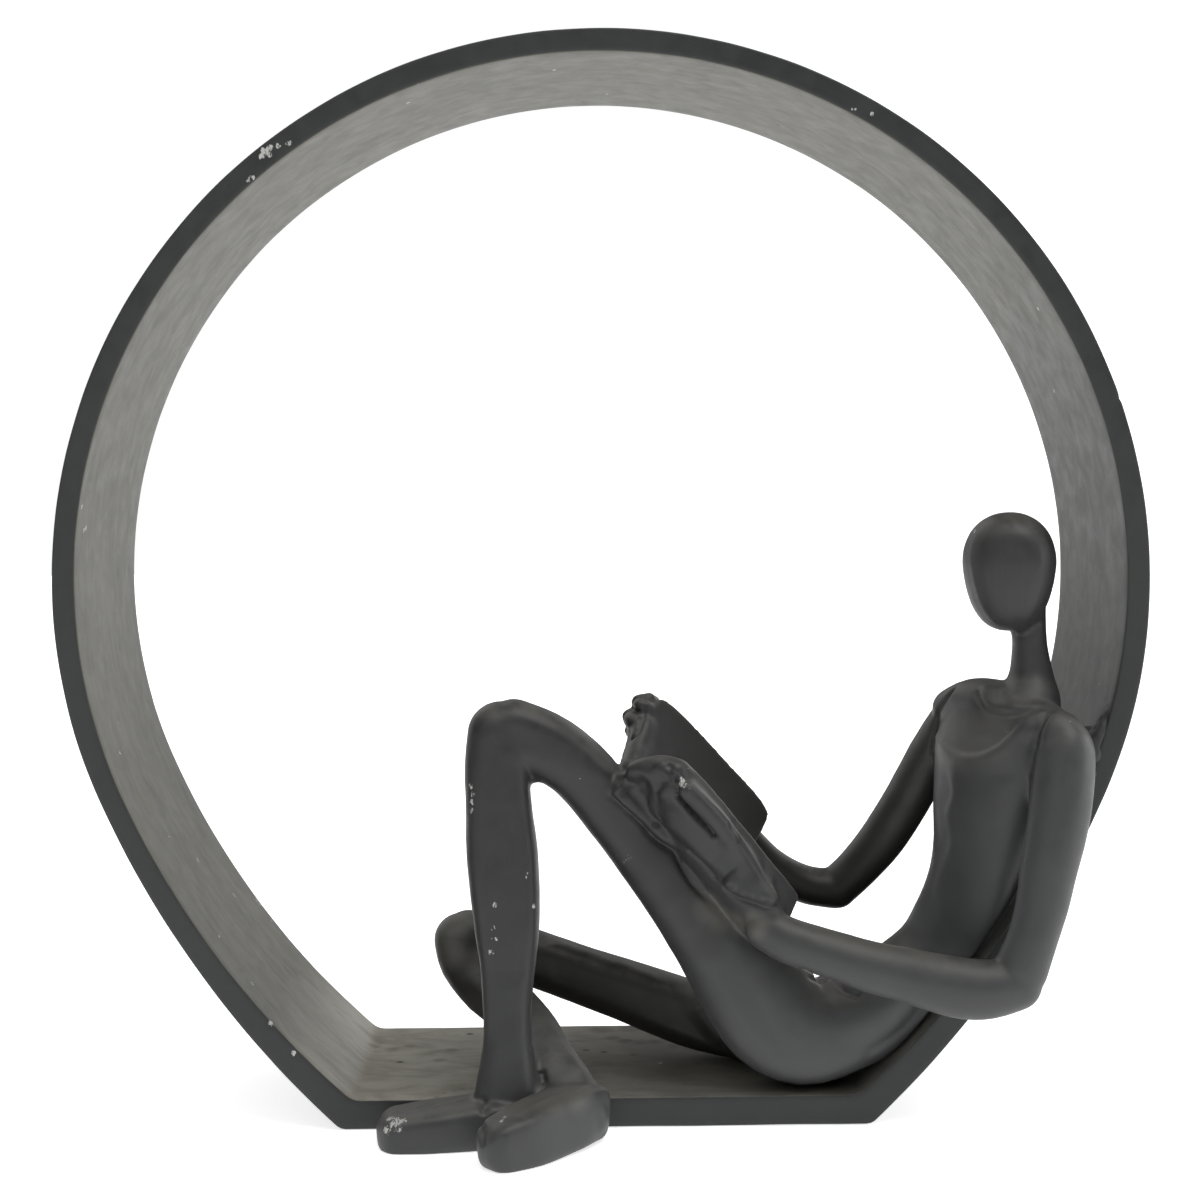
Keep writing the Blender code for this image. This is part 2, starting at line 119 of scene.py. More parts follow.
# Lines on the reader, by pixels of the photograph
NECKLINE = (
    (936, 733), (943, 745), (954, 753), (968, 757), (984, 755), (1000, 747), (1014, 734), (1030, 717),
)
ARMPIT = ((1049, 712), (1040, 727), (1034, 750), (1030, 787), (1026, 825), (1021, 863), (1016, 895))
TUNIC_SIDE = ((946, 765), (952, 790), (946, 815), (950, 842), (940, 870), (932, 898))
COVER_EDGE = (
    (617, 773), (627, 778), (640, 775), (650, 780), (653, 793), (651, 806),
    (657, 815), (669, 826), (684, 838), (700, 851), (712, 862),
)
PAGE_FOOT = ((722, 880), (736, 892), (756, 899), (776, 906), (795, 913))
ON_THE_THIGH = (
    (609, 794), (617, 803), (637, 820), (647, 830), (657, 840),
    (670, 848), (677, 854), (684, 868), (694, 884), (708, 900),
)
FAR_THIGH_EDGE = (
    (545, 945), (560, 947), (575, 953), (592, 958), (607, 965), (625, 969), (640, 976), (676, 988),
)
UNDER_THE_THIGH = ((632, 893), (652, 925), (676, 962), (700, 1005), (722, 1042), (742, 1066))
PLANE_DEPTH = 3e-3
PLANE_RISE = 7e-3
STANDING_X = 0.0

# The fine ring
RING_EDGE_EASE = 0.0005
OUTER_CORNER_ROUND = 0.0014
INNER_CORNER_ROUND = 0.0022
BASE_STEPS = 56
FLANK_STEPS = 96
CIRCLE_STEPS = 250
WALL_STEPS = 26
EDGE_STEPS = 3
FACE_STEPS = 5
RING_SHARP_ANGLE = radians(50)

# Marks on the ring, by pixels of the photograph
SEAM = ((1082, 430), (1094, 480), (1102, 530), (1106, 590), (1103, 640), (1097, 680), (1092, 704))
SEAM_LIP = ((1101, 470), (1110, 530), (1115, 590), (1112, 650), (1104, 700))
BASE_CRACK = ((437, 1098), (452, 1091), (466, 1089), (478, 1086))
RING_NICKS = ((288, 124), (296, 120), (1106, 358), (1120, 398), (271, 1023), (294, 1052), (872, 114))
RING_CHIPS = (
    (((264, 151), (270, 148), (262, 156), (268, 154), (284, 127), (292, 123)), 1.8e-3, 0.98),
    (((249, 180), (252, 178), (289, 143), (256, 146), (278, 146), (271, 1023), (294, 1053)), 1.4e-3, 0.98),
    (((82, 507), (84, 530), (86, 528), (257, 900), (260, 904), (272, 921)), 1.4e-3, 0.93),
    (((854, 109), (872, 114), (1106, 359), (1120, 399), (118, 722), (120, 753)), 1.2e-3, 0.93),
    (((169, 837), (198, 860), (234, 895), (219, 936), (252, 983), (554, 70)), 1.2e-3, 0.93),
    (((408, 103), (608, 94), (1038, 309), (1054, 391), (661, 1063)), 1.2e-3, 0.93),
)
FIGURE_CHIPS = (
    (((471, 786), (473, 794), (472, 802), (471, 810), (492, 928), (494, 940), (491, 952)), 1.6e-3, 0.88),
    (((390, 1118), (396, 1120), (402, 1121), (392, 1125), (398, 1128), (386, 1130)), 2.4e-3, 0.93),
    (((501, 1121), (505, 1117), (527, 875), (534, 906), (495, 905), (975, 531)), 1.4e-3, 0.88),
    (((682, 780), (684, 785), (681, 784)), 1.6e-3, 1.0),
    (((612, 852), (618, 856), (624, 860), (630, 858), (622, 866)), 2.2e-3, 0.7),
)
# Painted shade on the reader: dark lines in the crevices of the hand and book, the shadow band over the
# wrist, the book's line on the thigh, the crevices by the far hand and between the ankles, and the book's
# shadow on the thigh
FIGURE_PAINTED_SHADE = (
    (((668, 766), (672, 773), (676, 782), (678, 793), (680, 799), (686, 806)), 0.9e-3, 0.9),
    (((692, 813), (698, 819), (704, 825), (710, 831), (715, 836)), 0.8e-3, 0.9),
    (((731, 888), (739, 893), (748, 896), (757, 898), (766, 901), (776, 905), (786, 909)), 1.2e-3, 0.6),
    (((612, 797), (622, 807), (632, 816), (644, 827), (655, 838)), 0.8e-3, 0.8),
    (((640, 718), (637, 730), (632, 739), (541, 1073), (543, 1084)), 0.9e-3, 0.7),
    (((650, 866), (670, 890), (690, 914), (708, 942)), 7.0e-3, 0.42),
)
# On the ring, the small dark spots and the crack's dark line are dirt; the wider marks on the base's top
# along the far thigh and by the feet are painted shade where the reader rests on it
RING_DIRT_AND_SHADE = (
    (((547, 57), (205, 285), (778, 125), (903, 995), (1031, 828), (970, 1010)), 0.9e-3, 0.9),
    (((437, 1097), (445, 1093), (454, 1091), (463, 1089), (472, 1088)), 0.7e-3, 0.7),
    (((612, 1038), (626, 1041), (640, 1043), (655, 1042), (676, 1046), (690, 1048)), 3.2e-3, 0.5),
    (((400, 1062), (604, 1052), (634, 1055), (586, 1050), (470, 1034)), 1.4e-3, 0.9),
    (((374, 1046), (392, 1050), (410, 1046), (440, 1060), (452, 1050)), 2.6e-3, 0.35),
    (((600, 1030), (630, 1028), (660, 1034), (690, 1040), (720, 1048), (750, 1052)), 4.5e-3, 0.35),
)
# Painted light on the reader: paler spots on the chest, the top of a foot, the wrist and by the knee
PAINTED_LIGHT_SPOTS = (
    (((946, 740), (962, 744), (978, 740), (992, 734)), 9.0e-3, 0.55),
    (((512, 1110), (528, 1103), (545, 1099), (570, 1092)), 7.0e-3, 1.0),
    (((708, 908), (722, 918), (738, 924), (754, 926)), 5.0e-3, 0.9),
    (((466, 905), (450, 925), (444, 950)), 8.0e-3, 0.7),
)

# Paint
FIGURE_DARK = (0.0175, 0.0175, 0.0175, 1.0)
FIGURE_LIGHT = (0.046, 0.047, 0.0475, 1.0)
RING_DARK = (0.0165, 0.0175, 0.0175, 1.0)
RING_LIGHT = (0.0225, 0.024, 0.0235, 1.0)
# The ring's inner wall and the base's top: dust and streaks, made paler as a painted reflection of the white
# studio seen at a grazing angle
WALL_DUST_SHEEN_DARK = (0.043, 0.0425, 0.0315, 1.0)
WALL_DUST_SHEEN_LIGHT = (0.078, 0.0765, 0.0575, 1.0)
BASE_STAIN_AND_SHEEN = (0.165, 0.150, 0.121, 1.0)
BASE_DUST_AND_SHEEN = (0.250, 0.240, 0.205, 1.0)
CHIP_COLOUR = (0.42, 0.42, 0.40, 1.0)
# Colour of the pin holes, and of the dirt and painted shade
PIT_AND_SHADE_COLOUR = (0.012, 0.012, 0.011, 1.0)
FIGURE_PAINTED_LIGHT = (0.080, 0.078, 0.070, 1.0)
# Painted shade: the reader's paint darkens towards the back, over these depths, where the ring shades its far
# side
FIGURE_BACK_SHADE = (0.015, 0.0145, 0.0125, 1.0)
BACK_SHADE_DEPTHS = (-0.022, 0.002)

# Painted light: the reader's paint is made paler to the right and low down, where the light from the right
# and the floor's bounce fall, over this stretch of 0.6 X less Z
PAINTED_LIGHT_RIGHTWARD = 0.6
PAINTED_LIGHT_STRETCH = (-0.080, 0.005)
PAINTED_LIGHT_SHARE = 0.75

PAINT_ROUGHNESS = 0.5
PAINT_SPECULAR = 0.42
ROUGHNESS_SPREAD = 0.06
BUMP_STRENGTH = 0.35
BUMP_DEPTH = 0.25e-3

# Noise of the paint, at scale features a metre
CLOUD_SCALE = 26.0
MOTTLE_SCALE = 170.0
GRAIN_SCALE = 2300.0
RAGGED_SCALE = 900.0
CHIP_RAGGEDNESS = 0.9e-3
SCUFF_SCALE = 1700.0
SCUFF_STRETCH = (1.0, 1.0, 0.45)
STREAK_SCALE = 60.0
STREAK_STRETCH = (1.0, 2.2, 0.5)
STREAK_SHARE = 0.6
SPOT_CORE = 0.3

# Where the ring's dust and painted reflection lie: heights of the base's top, and stretches of X and height
# where painted shade makes them thinner, on the base's top under the reader and on the right wall
BASE_HEIGHTS = (0.03, 0.009)
BASE_PAINTED_SHADE = ((-0.03, 0.02), (-0.03, -0.012), 0.6)
RIGHT_WALL_LOW_SHADE = ((0.06, 0.11), (-0.21, -0.16), 0.75)
WALL_SHADED = ((0.085, 0.120), 0.3)
INWARD_FROM = 0.35
INWARD_RISE = 0.3

# Studio
FLOOR_SIZE = 8.0
FLOOR_GAP = 0.0002
FLOOR_COLOUR = (0.93, 0.93, 0.93, 1.0)
FLOOR_GLOW = 0.65

# Soft lights on the world: azimuth from +X, elevation and half width in degrees, then strength
OVERHEAD_BOX = (0, 90, 42, 0.9)
RIGHT_BOX = (0, 15, 30, 3.5)
KEY_BOX = (315, 60, 20, 5.5)
FRONT_LEFT_BOX = (240, 45, 42, 1.0)
BACK_RIGHT_BOX = (45, 10, 42, 1.5)
BACK_LEFT_BOX = (135, 30, 42, 1.25)
STUDIO_BOXES = (OVERHEAD_BOX, RIGHT_BOX, KEY_BOX, FRONT_LEFT_BOX, BACK_RIGHT_BOX, BACK_LEFT_BOX)
BOX_CORE = 0.3

FRONT = -RING_DEPTH / 2
SCALE = SEATED_HEIGHT / DRAWN_HEIGHT
RING_CENTRE = Vector((0.0, RING_CENTRE_HEIGHT))
MM = 0.001


# Camera and the photograph's frame

def camera_axes():
    """Right, up and forward of the camera."""
    level = cos(CAMERA_PITCH)
    forward = Vector((sin(CAMERA_YAW) * level, cos(CAMERA_YAW) * level, -sin(CAMERA_PITCH)))
    right = Vector((cos(CAMERA_YAW), -sin(CAMERA_YAW), 0.0))
    up = right.cross(forward)
    turned = right * cos(CAMERA_ROLL) + up * sin(CAMERA_ROLL)
    return turned, up * cos(CAMERA_ROLL) - right * sin(CAMERA_ROLL), forward


def photo_camera():
    data = bpy.data.cameras.new("photo_camera")
    data.sensor_width = SENSOR_MM
    data.lens = FOCAL_PIXELS / PHOTO_PIXELS * SENSOR_MM
    data.clip_start = 0.01
    data.clip_end = 20.0
    camera = shown("photo_camera", data)
    right, up, forward = camera_axes()
    turn = Matrix((right, up, -forward)).transposed()
    camera.matrix_world = Matrix.Translation(CAMERA_PLACE) @ turn.to_4x4()
    bpy.context.scene.camera = camera


def pixel_ray(u, v):
    """Unit direction of the camera's ray through a pixel of the photograph."""
    right, up, forward = camera_axes()
    half = PHOTO_PIXELS / 2
    return (forward * FOCAL_PIXELS + right * (u - half) - up * (v - half)).normalized()


def dropped(tree, pixels):
    """Where the rays through the pixels first meet a surface."""
    found = []
    for u, v in pixels:
        spot = tree.ray_cast(CAMERA_PLACE, pixel_ray(u, v))[0]
        if spot is not None:
            found.append(spot)
    return found


# Outlines of the ring, in the plane of X and Z

def flank_arc(radius, foot):
    """Centre and radius of the arc that leaves the ring's circle smoothly and ends at foot."""
    radial = Vector((cos(-FLANK_START), sin(-FLANK_START)))
    leave = RING_CENTRE + radius * radial
    chord = foot - leave
    flank_radius = -chord.length_squared / (2 * chord.dot(radial))
    return leave - flank_radius * radial, flank_radius


def inner_foot():
    """Where the inner flank meets the base's top."""
    centre, flank_radius = flank_arc(RING_RADIUS, Vector((BASE_LENGTH / 2, 0.0)))
    reach = flank_radius - FLANK_FOOT_WALL
    return Vector((centre.x + sqrt(reach**2 - (BASE_THICKNESS - centre.y) ** 2), BASE_THICKNESS))


def half_outline(radius, foot):
    """Points from the middle of the base, out to the foot, up the flank and round to the top."""
    centre, flank_radius = flank_arc(radius, foot)
    low = atan2(foot.y - centre.y, foot.x - centre.x)
    points = [foot * Vector((i / BASE_STEPS, 1.0)) for i in range(BASE_STEPS)]
    for i in range(FLANK_STEPS):
        angle = low + (-FLANK_START - low) * i / FLANK_STEPS
        points.append(centre + flank_radius * Vector((cos(angle), sin(angle))))
    for i in range(CIRCLE_STEPS + 1):
        angle = -FLANK_START + (pi / 2 + FLANK_START) * i / CIRCLE_STEPS
        points.append(RING_CENTRE + radius * Vector((cos(angle), sin(angle))))
    return points


def wall_x(height):
    """X of the ring's right inner wall at a height on its circle."""
    return sqrt((RING_RADIUS - RING_WALL) ** 2 - (height - RING_CENTRE.y) ** 2)


# Places on the reader

def place(x, depth, z):
    """A drawn place, in millimetres from the ring's middle, behind its front face and above the ground."""
    wall = wall_x(BASE_THICKNESS + SHOULDER_HEIGHT)
    seat = BASE_THICKNESS + (z - DRAWN_SEAT) * SCALE
    return Vector((wall + (x - DRAWN_WALL) * SCALE, FRONT + depth * SCALE, seat))


def on_ground(x, depth, z):
    """Like place, but with the height taken from the ground that the feet stand on."""
    spot = place(x, depth, z)
    spot.z = z * SCALE
    return spot


def flowing(rows):
    """Rows of vectors with two more between each pair, on a smooth curve through them all."""
    found = []
    last = len(rows) - 1
    for i in range(last):
        around = [rows[min(max(j, 0), last)] for j in (i - 1, i, i + 1, i + 2)]
        for t in (0.0, 1 / 3, 2 / 3):
            row = []
            for p0, p1, p2, p3 in zip(*around):
                bend = 2 * p0 - 5 * p1 + 4 * p2 - p3
                twist = 3 * p1 - p0 - 3 * p2 + p3
                row.append(0.5 * (2 * p1 + (p2 - p0) * t + bend * t**2 + twist * t**3))
            found.append(row)
    return found + [rows[last]]


def section(work, centre, tangent, deep, across_half, deep_half, squareness):
    """One cross-section, as bmesh vertices round its centre."""
    side = (deep - deep.dot(tangent) * tangent).normalized()
    across = tangent.cross(side).normalized()
    power = 2.0 / squareness
    verts = []
    for i in range(SIDES):
        u, v = cos(tau * i / SIDES), sin(tau * i / SIDES)
        u = abs(u) ** power * (1 if u >= 0 else -1)
        v = abs(v) ** power * (1 if v >= 0 else -1)
        verts.append(work.verts.new(centre + across * (u * across_half) + side * (v * deep_half)))
    return verts


def domed(ring, side):
    """Ever smaller rings that round off an end, from it outwards."""
    centre, way, halves = ring
    reach = side * min(halves)
    return [(centre + reach * out * way, way, [half * girth for half in halves]) for out, girth in DOME]


def limb(work, stations, deep=(0, 1, 0), squareness=2.0):
    """A closed loft through stations of (place, half across, half deep), with domed ends."""
    rows = flowing([(*spot, across * SCALE, thick * SCALE) for spot, across, thick in stations])
    centres = [Vector(row[:3]) for row in rows]
    ahead = centres[1:] + centres[-1:]
    behind = centres[:1] + centres[:-1]
    ways = [(a - b).normalized() for a, b in zip(ahead, behind)]
    rings = list(zip(centres, ways, [row[3:] for row in rows]))
    rings = domed(rings[0], -1)[::-1] + rings + domed(rings[-1], 1)
    deep = Vector(deep)
    loops = [section(work, centre, way, deep, *halves, squareness) for centre, way, halves in rings]
    for low, high in zip(loops, loops[1:]):
        for i in range(SIDES):
            j = (i + 1) % SIDES
            work.faces.new((low[i], low[j], high[j], high[i]))
    work.faces.new(reversed(loops[0]))
    work.faces.new(loops[-1])


def drawn(stations, where=place):
    return [(where(*s[:3]), s[3], s[4]) for s in stations]


def egg(work, centre, radii):
    """An egg with its blunt end down, from a sphere."""
    made = bmesh.ops.create_uvsphere(work, u_segments=EGG_SEGMENTS, v_segments=EGG_RINGS, radius=1.0)
    for vert in made["verts"]:
        height = vert.co.z
        power = 2.0 if height > 0 else CHIN_BLUNTNESS
        girth = max(0.0, 1 - abs(height) ** power) ** (1 / power) * (1 + HEAD_TAPER * height)
        around = Vector((vert.co.x, vert.co.y)).normalized() * girth
        vert.co = centre + Vector((around.x * radii[0], around.y * radii[1], height * radii[2])) * SCALE


def slab(work, corners, thickness, bow):
    """A sheet of even thickness over four corner places, bowed along its width like an open page."""
    spine_a, spine_b, edge_a, edge_b = corners
    normal = (spine_b - spine_a).cross(edge_a - spine_a).normalized()
    sheet = bmesh.new()
    bmesh.ops.create_cube(sheet, size=2.0)
    bmesh.ops.subdivide_edges(sheet, edges=sheet.edges, cuts=PAGE_CUTS, use_grid_fill=True)
    for vert in sheet.verts:
        along, across, face = vert.co
        pull = 1 - PAGE_CORNER_PULL * (along * across) ** 4
        u, v = (1 + along * pull) / 2, (1 + across * pull) / 2
        spot = spine_a.lerp(spine_b, u).lerp(edge_a.lerp(edge_b, u), v)
        rise = bow * sin(pi * v) + face * thickness / 2
        vert.co = spot + normal * rise * SCALE
    mesh = bpy.data.meshes.new("sheet")
    sheet.to_mesh(mesh)
    sheet.free()
    work.from_mesh(mesh)
    bpy.data.meshes.remove(mesh)


# The reader's forms. Near means the viewer's side.

def head(work):
    egg(work, place(100.3, 10, 134.6), (11.3, 12.2, 14.7))
    neck = [
        (104, 11, 128, 5.6, 5.6),
        (105.6, 12, 119.5, 4.3, 4.8),
        (106, 12, 113, 4.7, 5.2),
        (106.2, 12, 108, 5.8, 6.6),
        (105.5, 11.5, 103, 8.2, 9.5),
        (103, 11.5, 98, 9, 12),
    ]
    limb(work, drawn(neck))


def torso(work):
    yoke = [
        (90.2, 27, 99.2, 5.4, 6.2),
        (93.8, 20.5, 101.6, 5.8, 7.2),
        (98.5, 13, 101, 6.4, 8.2),
        (104.5, 5, 98, 6.6, 8),
        (109.5, -1, 95, 6.2, 7),
    ]
    limb(work, drawn(yoke), deep=CHEST_FORWARD)
    spine = [
        (98.5, 12, 98, 8, 16.5),
        (97, 12, 91, 9, 18),
        (96.2, 12.3, 84, 9.4, 17.5),
        (95, 12.6, 75, 9.4, 16),
        (94, 13.2, 66, 8.8, 14.5),
        (92, 14, 57, 8, 13.5),
        (88.6, 15, 48, 7.2, 13.2),
        (84, 16.5, 38.5, 7, 14),
        (76, 18, 30.5, 7.6, 15.5),
        (65, 19.5, 23, 8.6, 18.5),
        (55, 20, 18.5, 9.4, 19.5),
    ]
    limb(work, drawn(spine), deep=CHEST_WIDTH)
    shoulder_back = [
        (106, 8, 92.5, 6, 7),
        (113.5, 9, 90.8, 5.6, 7.5),
        (121, 10.5, 89.6, 6.5, 9),
    ]
    limb(work, drawn(shoulder_back))


def near_arm(work):
    upper = [
        (109.8, -3, 95, 6.4, 6.6),
        (110.6, -4.5, 91.5, 7.4, 7.4),
        (109.5, -7, 83.4, 7.6, 7.4),
        (108, -9, 74.6, 7.4, 7),
        (105.7, -11, 65.8, 6.9, 6.8),
        (103.8, -12, 56.9, 6.3, 6.4),
        (101.4, -13, 48.8, 5.9, 6.2),
        (98.4, -13.5, 41, 6.4, 6.4),
    ]
    limb(work, drawn(upper))
    lower = [
        (97, -13.5, 37.6, 6.4, 6.4),
        (91, -13.5, 36.3, 7, 6.5),
        (85, -13, 36.3, 7.3, 6.5),
        (78.4, -12, 37.6, 7, 6.4),
        (70.8, -10, 39.2, 6.5, 6.2),
        (63.2, -8.5, 40.8, 6.2, 6),
        (56.2, -7, 42.9, 5.8, 5.8),
        (44.9, -5, 46.2, 5.6, 5.5),
        (38.5, -4, 49.4, 5.2, 5),
    ]
    limb(work, drawn(lower))
    hand = [
        (38.8, -2.8, 50, 6, 4.8),
        (34, -1.6, 57, 7.8, 4.2),
        (28.8, -2.1, 65.2, 9.4, 3.7),
        (23.8, -3.5, 72.6, 9.2, 3.2),
        (19.7, -6.2, 79.6, 7.2, 2.8),
        (17.7, -8, 83.5, 4.8, 2.6),
    ]
    limb(work, drawn(hand), deep=NEAR_PAGE_OUT)


def far_arm(work):
    upper = [
        (92, 27, 100.2, 4.6, 5.6),
        (89.4, 29, 95.2, 5.8, 6.4),
        (84.8, 32, 86.6, 6, 6.4),
        (79.6, 35, 75.5, 6.1, 6.2),
        (73.6, 37, 65, 6, 6),
        (67, 39, 56.5, 5.6, 5.8),
        (61.5, 40, 51, 5.4, 5.6),
    ]
    limb(work, drawn(upper))
    lower = [
        (61.5, 40, 50.6, 5.2, 5.4),
        (54, 39.5, 51.6, 5, 5.4),
        (47.5, 38.5, 54.6, 4.9, 5.2),
        (40.5, 37, 60, 4.9, 5),
        (30.4, 34.5, 72, 4.8, 4.6),
        (20, 31, 85, 4.4, 4),
        (12, 26.5, 96, 3.6, 3.6),
    ]
    limb(work, drawn(lower))
    for lift, out in ((0, 8), (3.6, 7.4), (7.2, 9.8)):
        finger = [
            (out + 3, 26, 94.0 + lift, 2.2, 2.2),
            (out - 0.6, 22, 94.5 + lift, 2.2, 2.4),
            (out + 1.2, 18.5, 93.5 + lift, 1.9, 2),
        ]
        limb(work, drawn(finger))


def book(work):
    spine_top = place(4.6, 1.5, 84)
    spine_end = place(30, 10.5, 54.6)
    far = (spine_top, spine_end, place(12.6, 24, 104.2), place(42.8, 32.8, 70.9))
    slab(work, far, FAR_HALF_THICK, FAR_HALF_BOW)
    near = (spine_top, spine_end, place(19.6, -9, 88.2), place(48.3, 1.2, 52))
    slab(work, near, NEAR_HALF_THICK, NEAR_HALF_BOW)
    back = [
        (5.2, 1.5, 82, 4.8, 5),
        (16, 5, 69, 4.8, 5),
        (28.5, 9.5, 55.2, 4.6, 4.8),
    ]
    limb(work, drawn(back))
    far_page_end = [(6.8, 6, 87, 2.8, 2.8), (8.8, 12, 91.5, 2.8, 2.8), (10.6, 17, 96.5, 2.8, 2.8)]
    limb(work, drawn(far_page_end))
    near_page_end = [(8.8, -1.5, 87, 3, 3.2), (13.5, -4, 88.4, 3.2, 3.4), (17.6, -6.5, 87.8, 3.2, 3.4)]
    limb(work, drawn(near_page_end))


def near_leg(work):
    hip = [
        (56, 10.5, 22, 11.5, 12),
        (64, 11.5, 25.5, 10.6, 12.3),
        (70.5, 12.5, 29.4, 9, 12),
        (75, 13.5, 32.6, 7.2, 11),
    ]
    limb(work, drawn(hip))
    thigh = [
        (57.5, 11.5, 21.5, 11.5, 12.5),
        (49.4, 10, 21, 13.4, 12.2),
        (41.8, 9.5, 25.2, 14, 11.8),
        (34.6, 9, 34.2, 12.8, 10.8),
        (27, 8.8, 43.9, 10.5, 9.6),
        (18.6, 8.4, 55, 8.8, 9),
        (9.8, 7.8, 66.6, 8, 8.4),
        (1.2, 7, 78.2, 7.8, 8),
        (-6.6, 6, 87.6, 7.9, 8),
        (-14.6, 5, 93.2, 8.3, 8.2),
        (-22, 4.2, 96, 8.6, 8.2),
    ]
    limb(work, drawn(thigh), squareness=LEG_SQUARENESS)
    shin = [
        (-24.6, 4, 96, 8.6, 8.2),
        (-25.9, 3, 88, 8, 8),
        (-25.7, 2, 80.2, 8, 7.9),
        (-24.9, 1, 68.1, 8.7, 8.4),
        (-24.3, 0, 58.5, 8.5, 8.4),
        (-23.8, -1, 49, 7.9, 7.6),
        (-23.7, -2, 39.4, 6.6, 6.8),
        (-23.8, -3.5, 30, 5.9, 6.2),
        (-23.8, -5, 21.8, 6, 6.2),
    ]
    ankle = [(-24, -7.5, 12, 7.6, 6.8), (-24.4, -8.5, 5, 8, 7)]
    limb(work, drawn(shin) + drawn(ankle, on_ground), squareness=LEG_SQUARENESS)
    knee_hollow = [(-20, 3.5, 86.8, 3, 4), (-16, 4.2, 87.2, 3, 4.2), (-12, 5, 87, 3, 4)]
    limb(work, drawn(knee_hollow))


def near_foot(work):
    foot = [
        (-20, -9.5, 4.6, 5, 6.5),
        (-26, -9.8, 5, 5.8, 7.8),
        (-34, -10.4, 4.4, 5.6, 8.6),
        (-43, -11.2, 3.6, 5.4, 8.8),
        (-50, -11.8, 2.8, 5.2, 8),
    ]
    limb(work, drawn(foot, on_ground), squareness=FOOT_SQUARENESS)


def far_leg(work):
    thigh = [
        (56, 29, 18, 11, 12.5),
        (44, 32, 17, 10.2, 11.5),
        (33, 36, 17, 9.2, 9.6),
        (22.6, 38, 18.5, 8.6, 8.6),
        (9.6, 40, 22.9, 8, 8),
        (-3.5, 42, 27.2, 7.5, 7.6),
        (-16.6, 43, 31.8, 7.3, 7.4),
        (-28, 44, 35.2, 7.6, 7.4),
        (-35.5, 44, 37, 8, 7.6),
    ]
    limb(work, drawn(thigh), squareness=LEG_SQUARENESS)
    shin = [
        (-37, 43.5, 37.2, 7.6, 7.4),
        (-35.6, 41, 32, 7, 7.2),
        (-30, 36, 26, 6.5, 6.8),
        (-23.2, 26, 22.8, 6.3, 6.4),
        (-18, 14, 19.2, 6.2, 6.8),
        (-14.8, 2, 16, 6.4, 7),
    ]
    ankle = [(-8.8, -7, 9.8, 6.8, 6.8), (-5, -11, 5.6, 5.6, 5.6)]
    limb(work, drawn(shin) + drawn(ankle, on_ground), deep=(1, 0, 0), squareness=LEG_SQUARENESS)


def far_foot(work):
    instep = [(-20, -4, 16, 4.5, 5), (-17.6, -6, 11, 4.5, 5.5), (-14.8, -9, 6.5, 5, 5.5)]
    limb(work, drawn(instep, on_ground))
    foot = [
        (-4, -9.5, 6.8, 6.6, 4.8),
        (-8, -13.5, 7.2, 7, 6.2),
        (-13.5, -19, 6.6, 7, 6.6),
        (-20, -25.5, 5.6, 6.6, 6.6),
        (-24.8, -29.5, 4.8, 6.2, 5.6),
    ]
    limb(work, drawn(foot, on_ground), deep=(1, -1, 0), squareness=FOOT_SQUARENESS)


FORMS = (head, torso, near_arm, far_arm, book, near_leg, near_foot, far_leg, far_foot)


# The reader's skin, held as arrays and worked over with strokes

def bell(offset, width):
    """A soft fall from 1 at no offset to nearly 0 at twice the width."""
    return np.exp(-((np.linalg.norm(offset, axis=1) / width) ** 2))


def ends(share, least=END_SHARE):
    """A fade towards both ends of a line."""
    return np.minimum(1.0, END_FADE * np.minimum(share, 1 - share) + least)


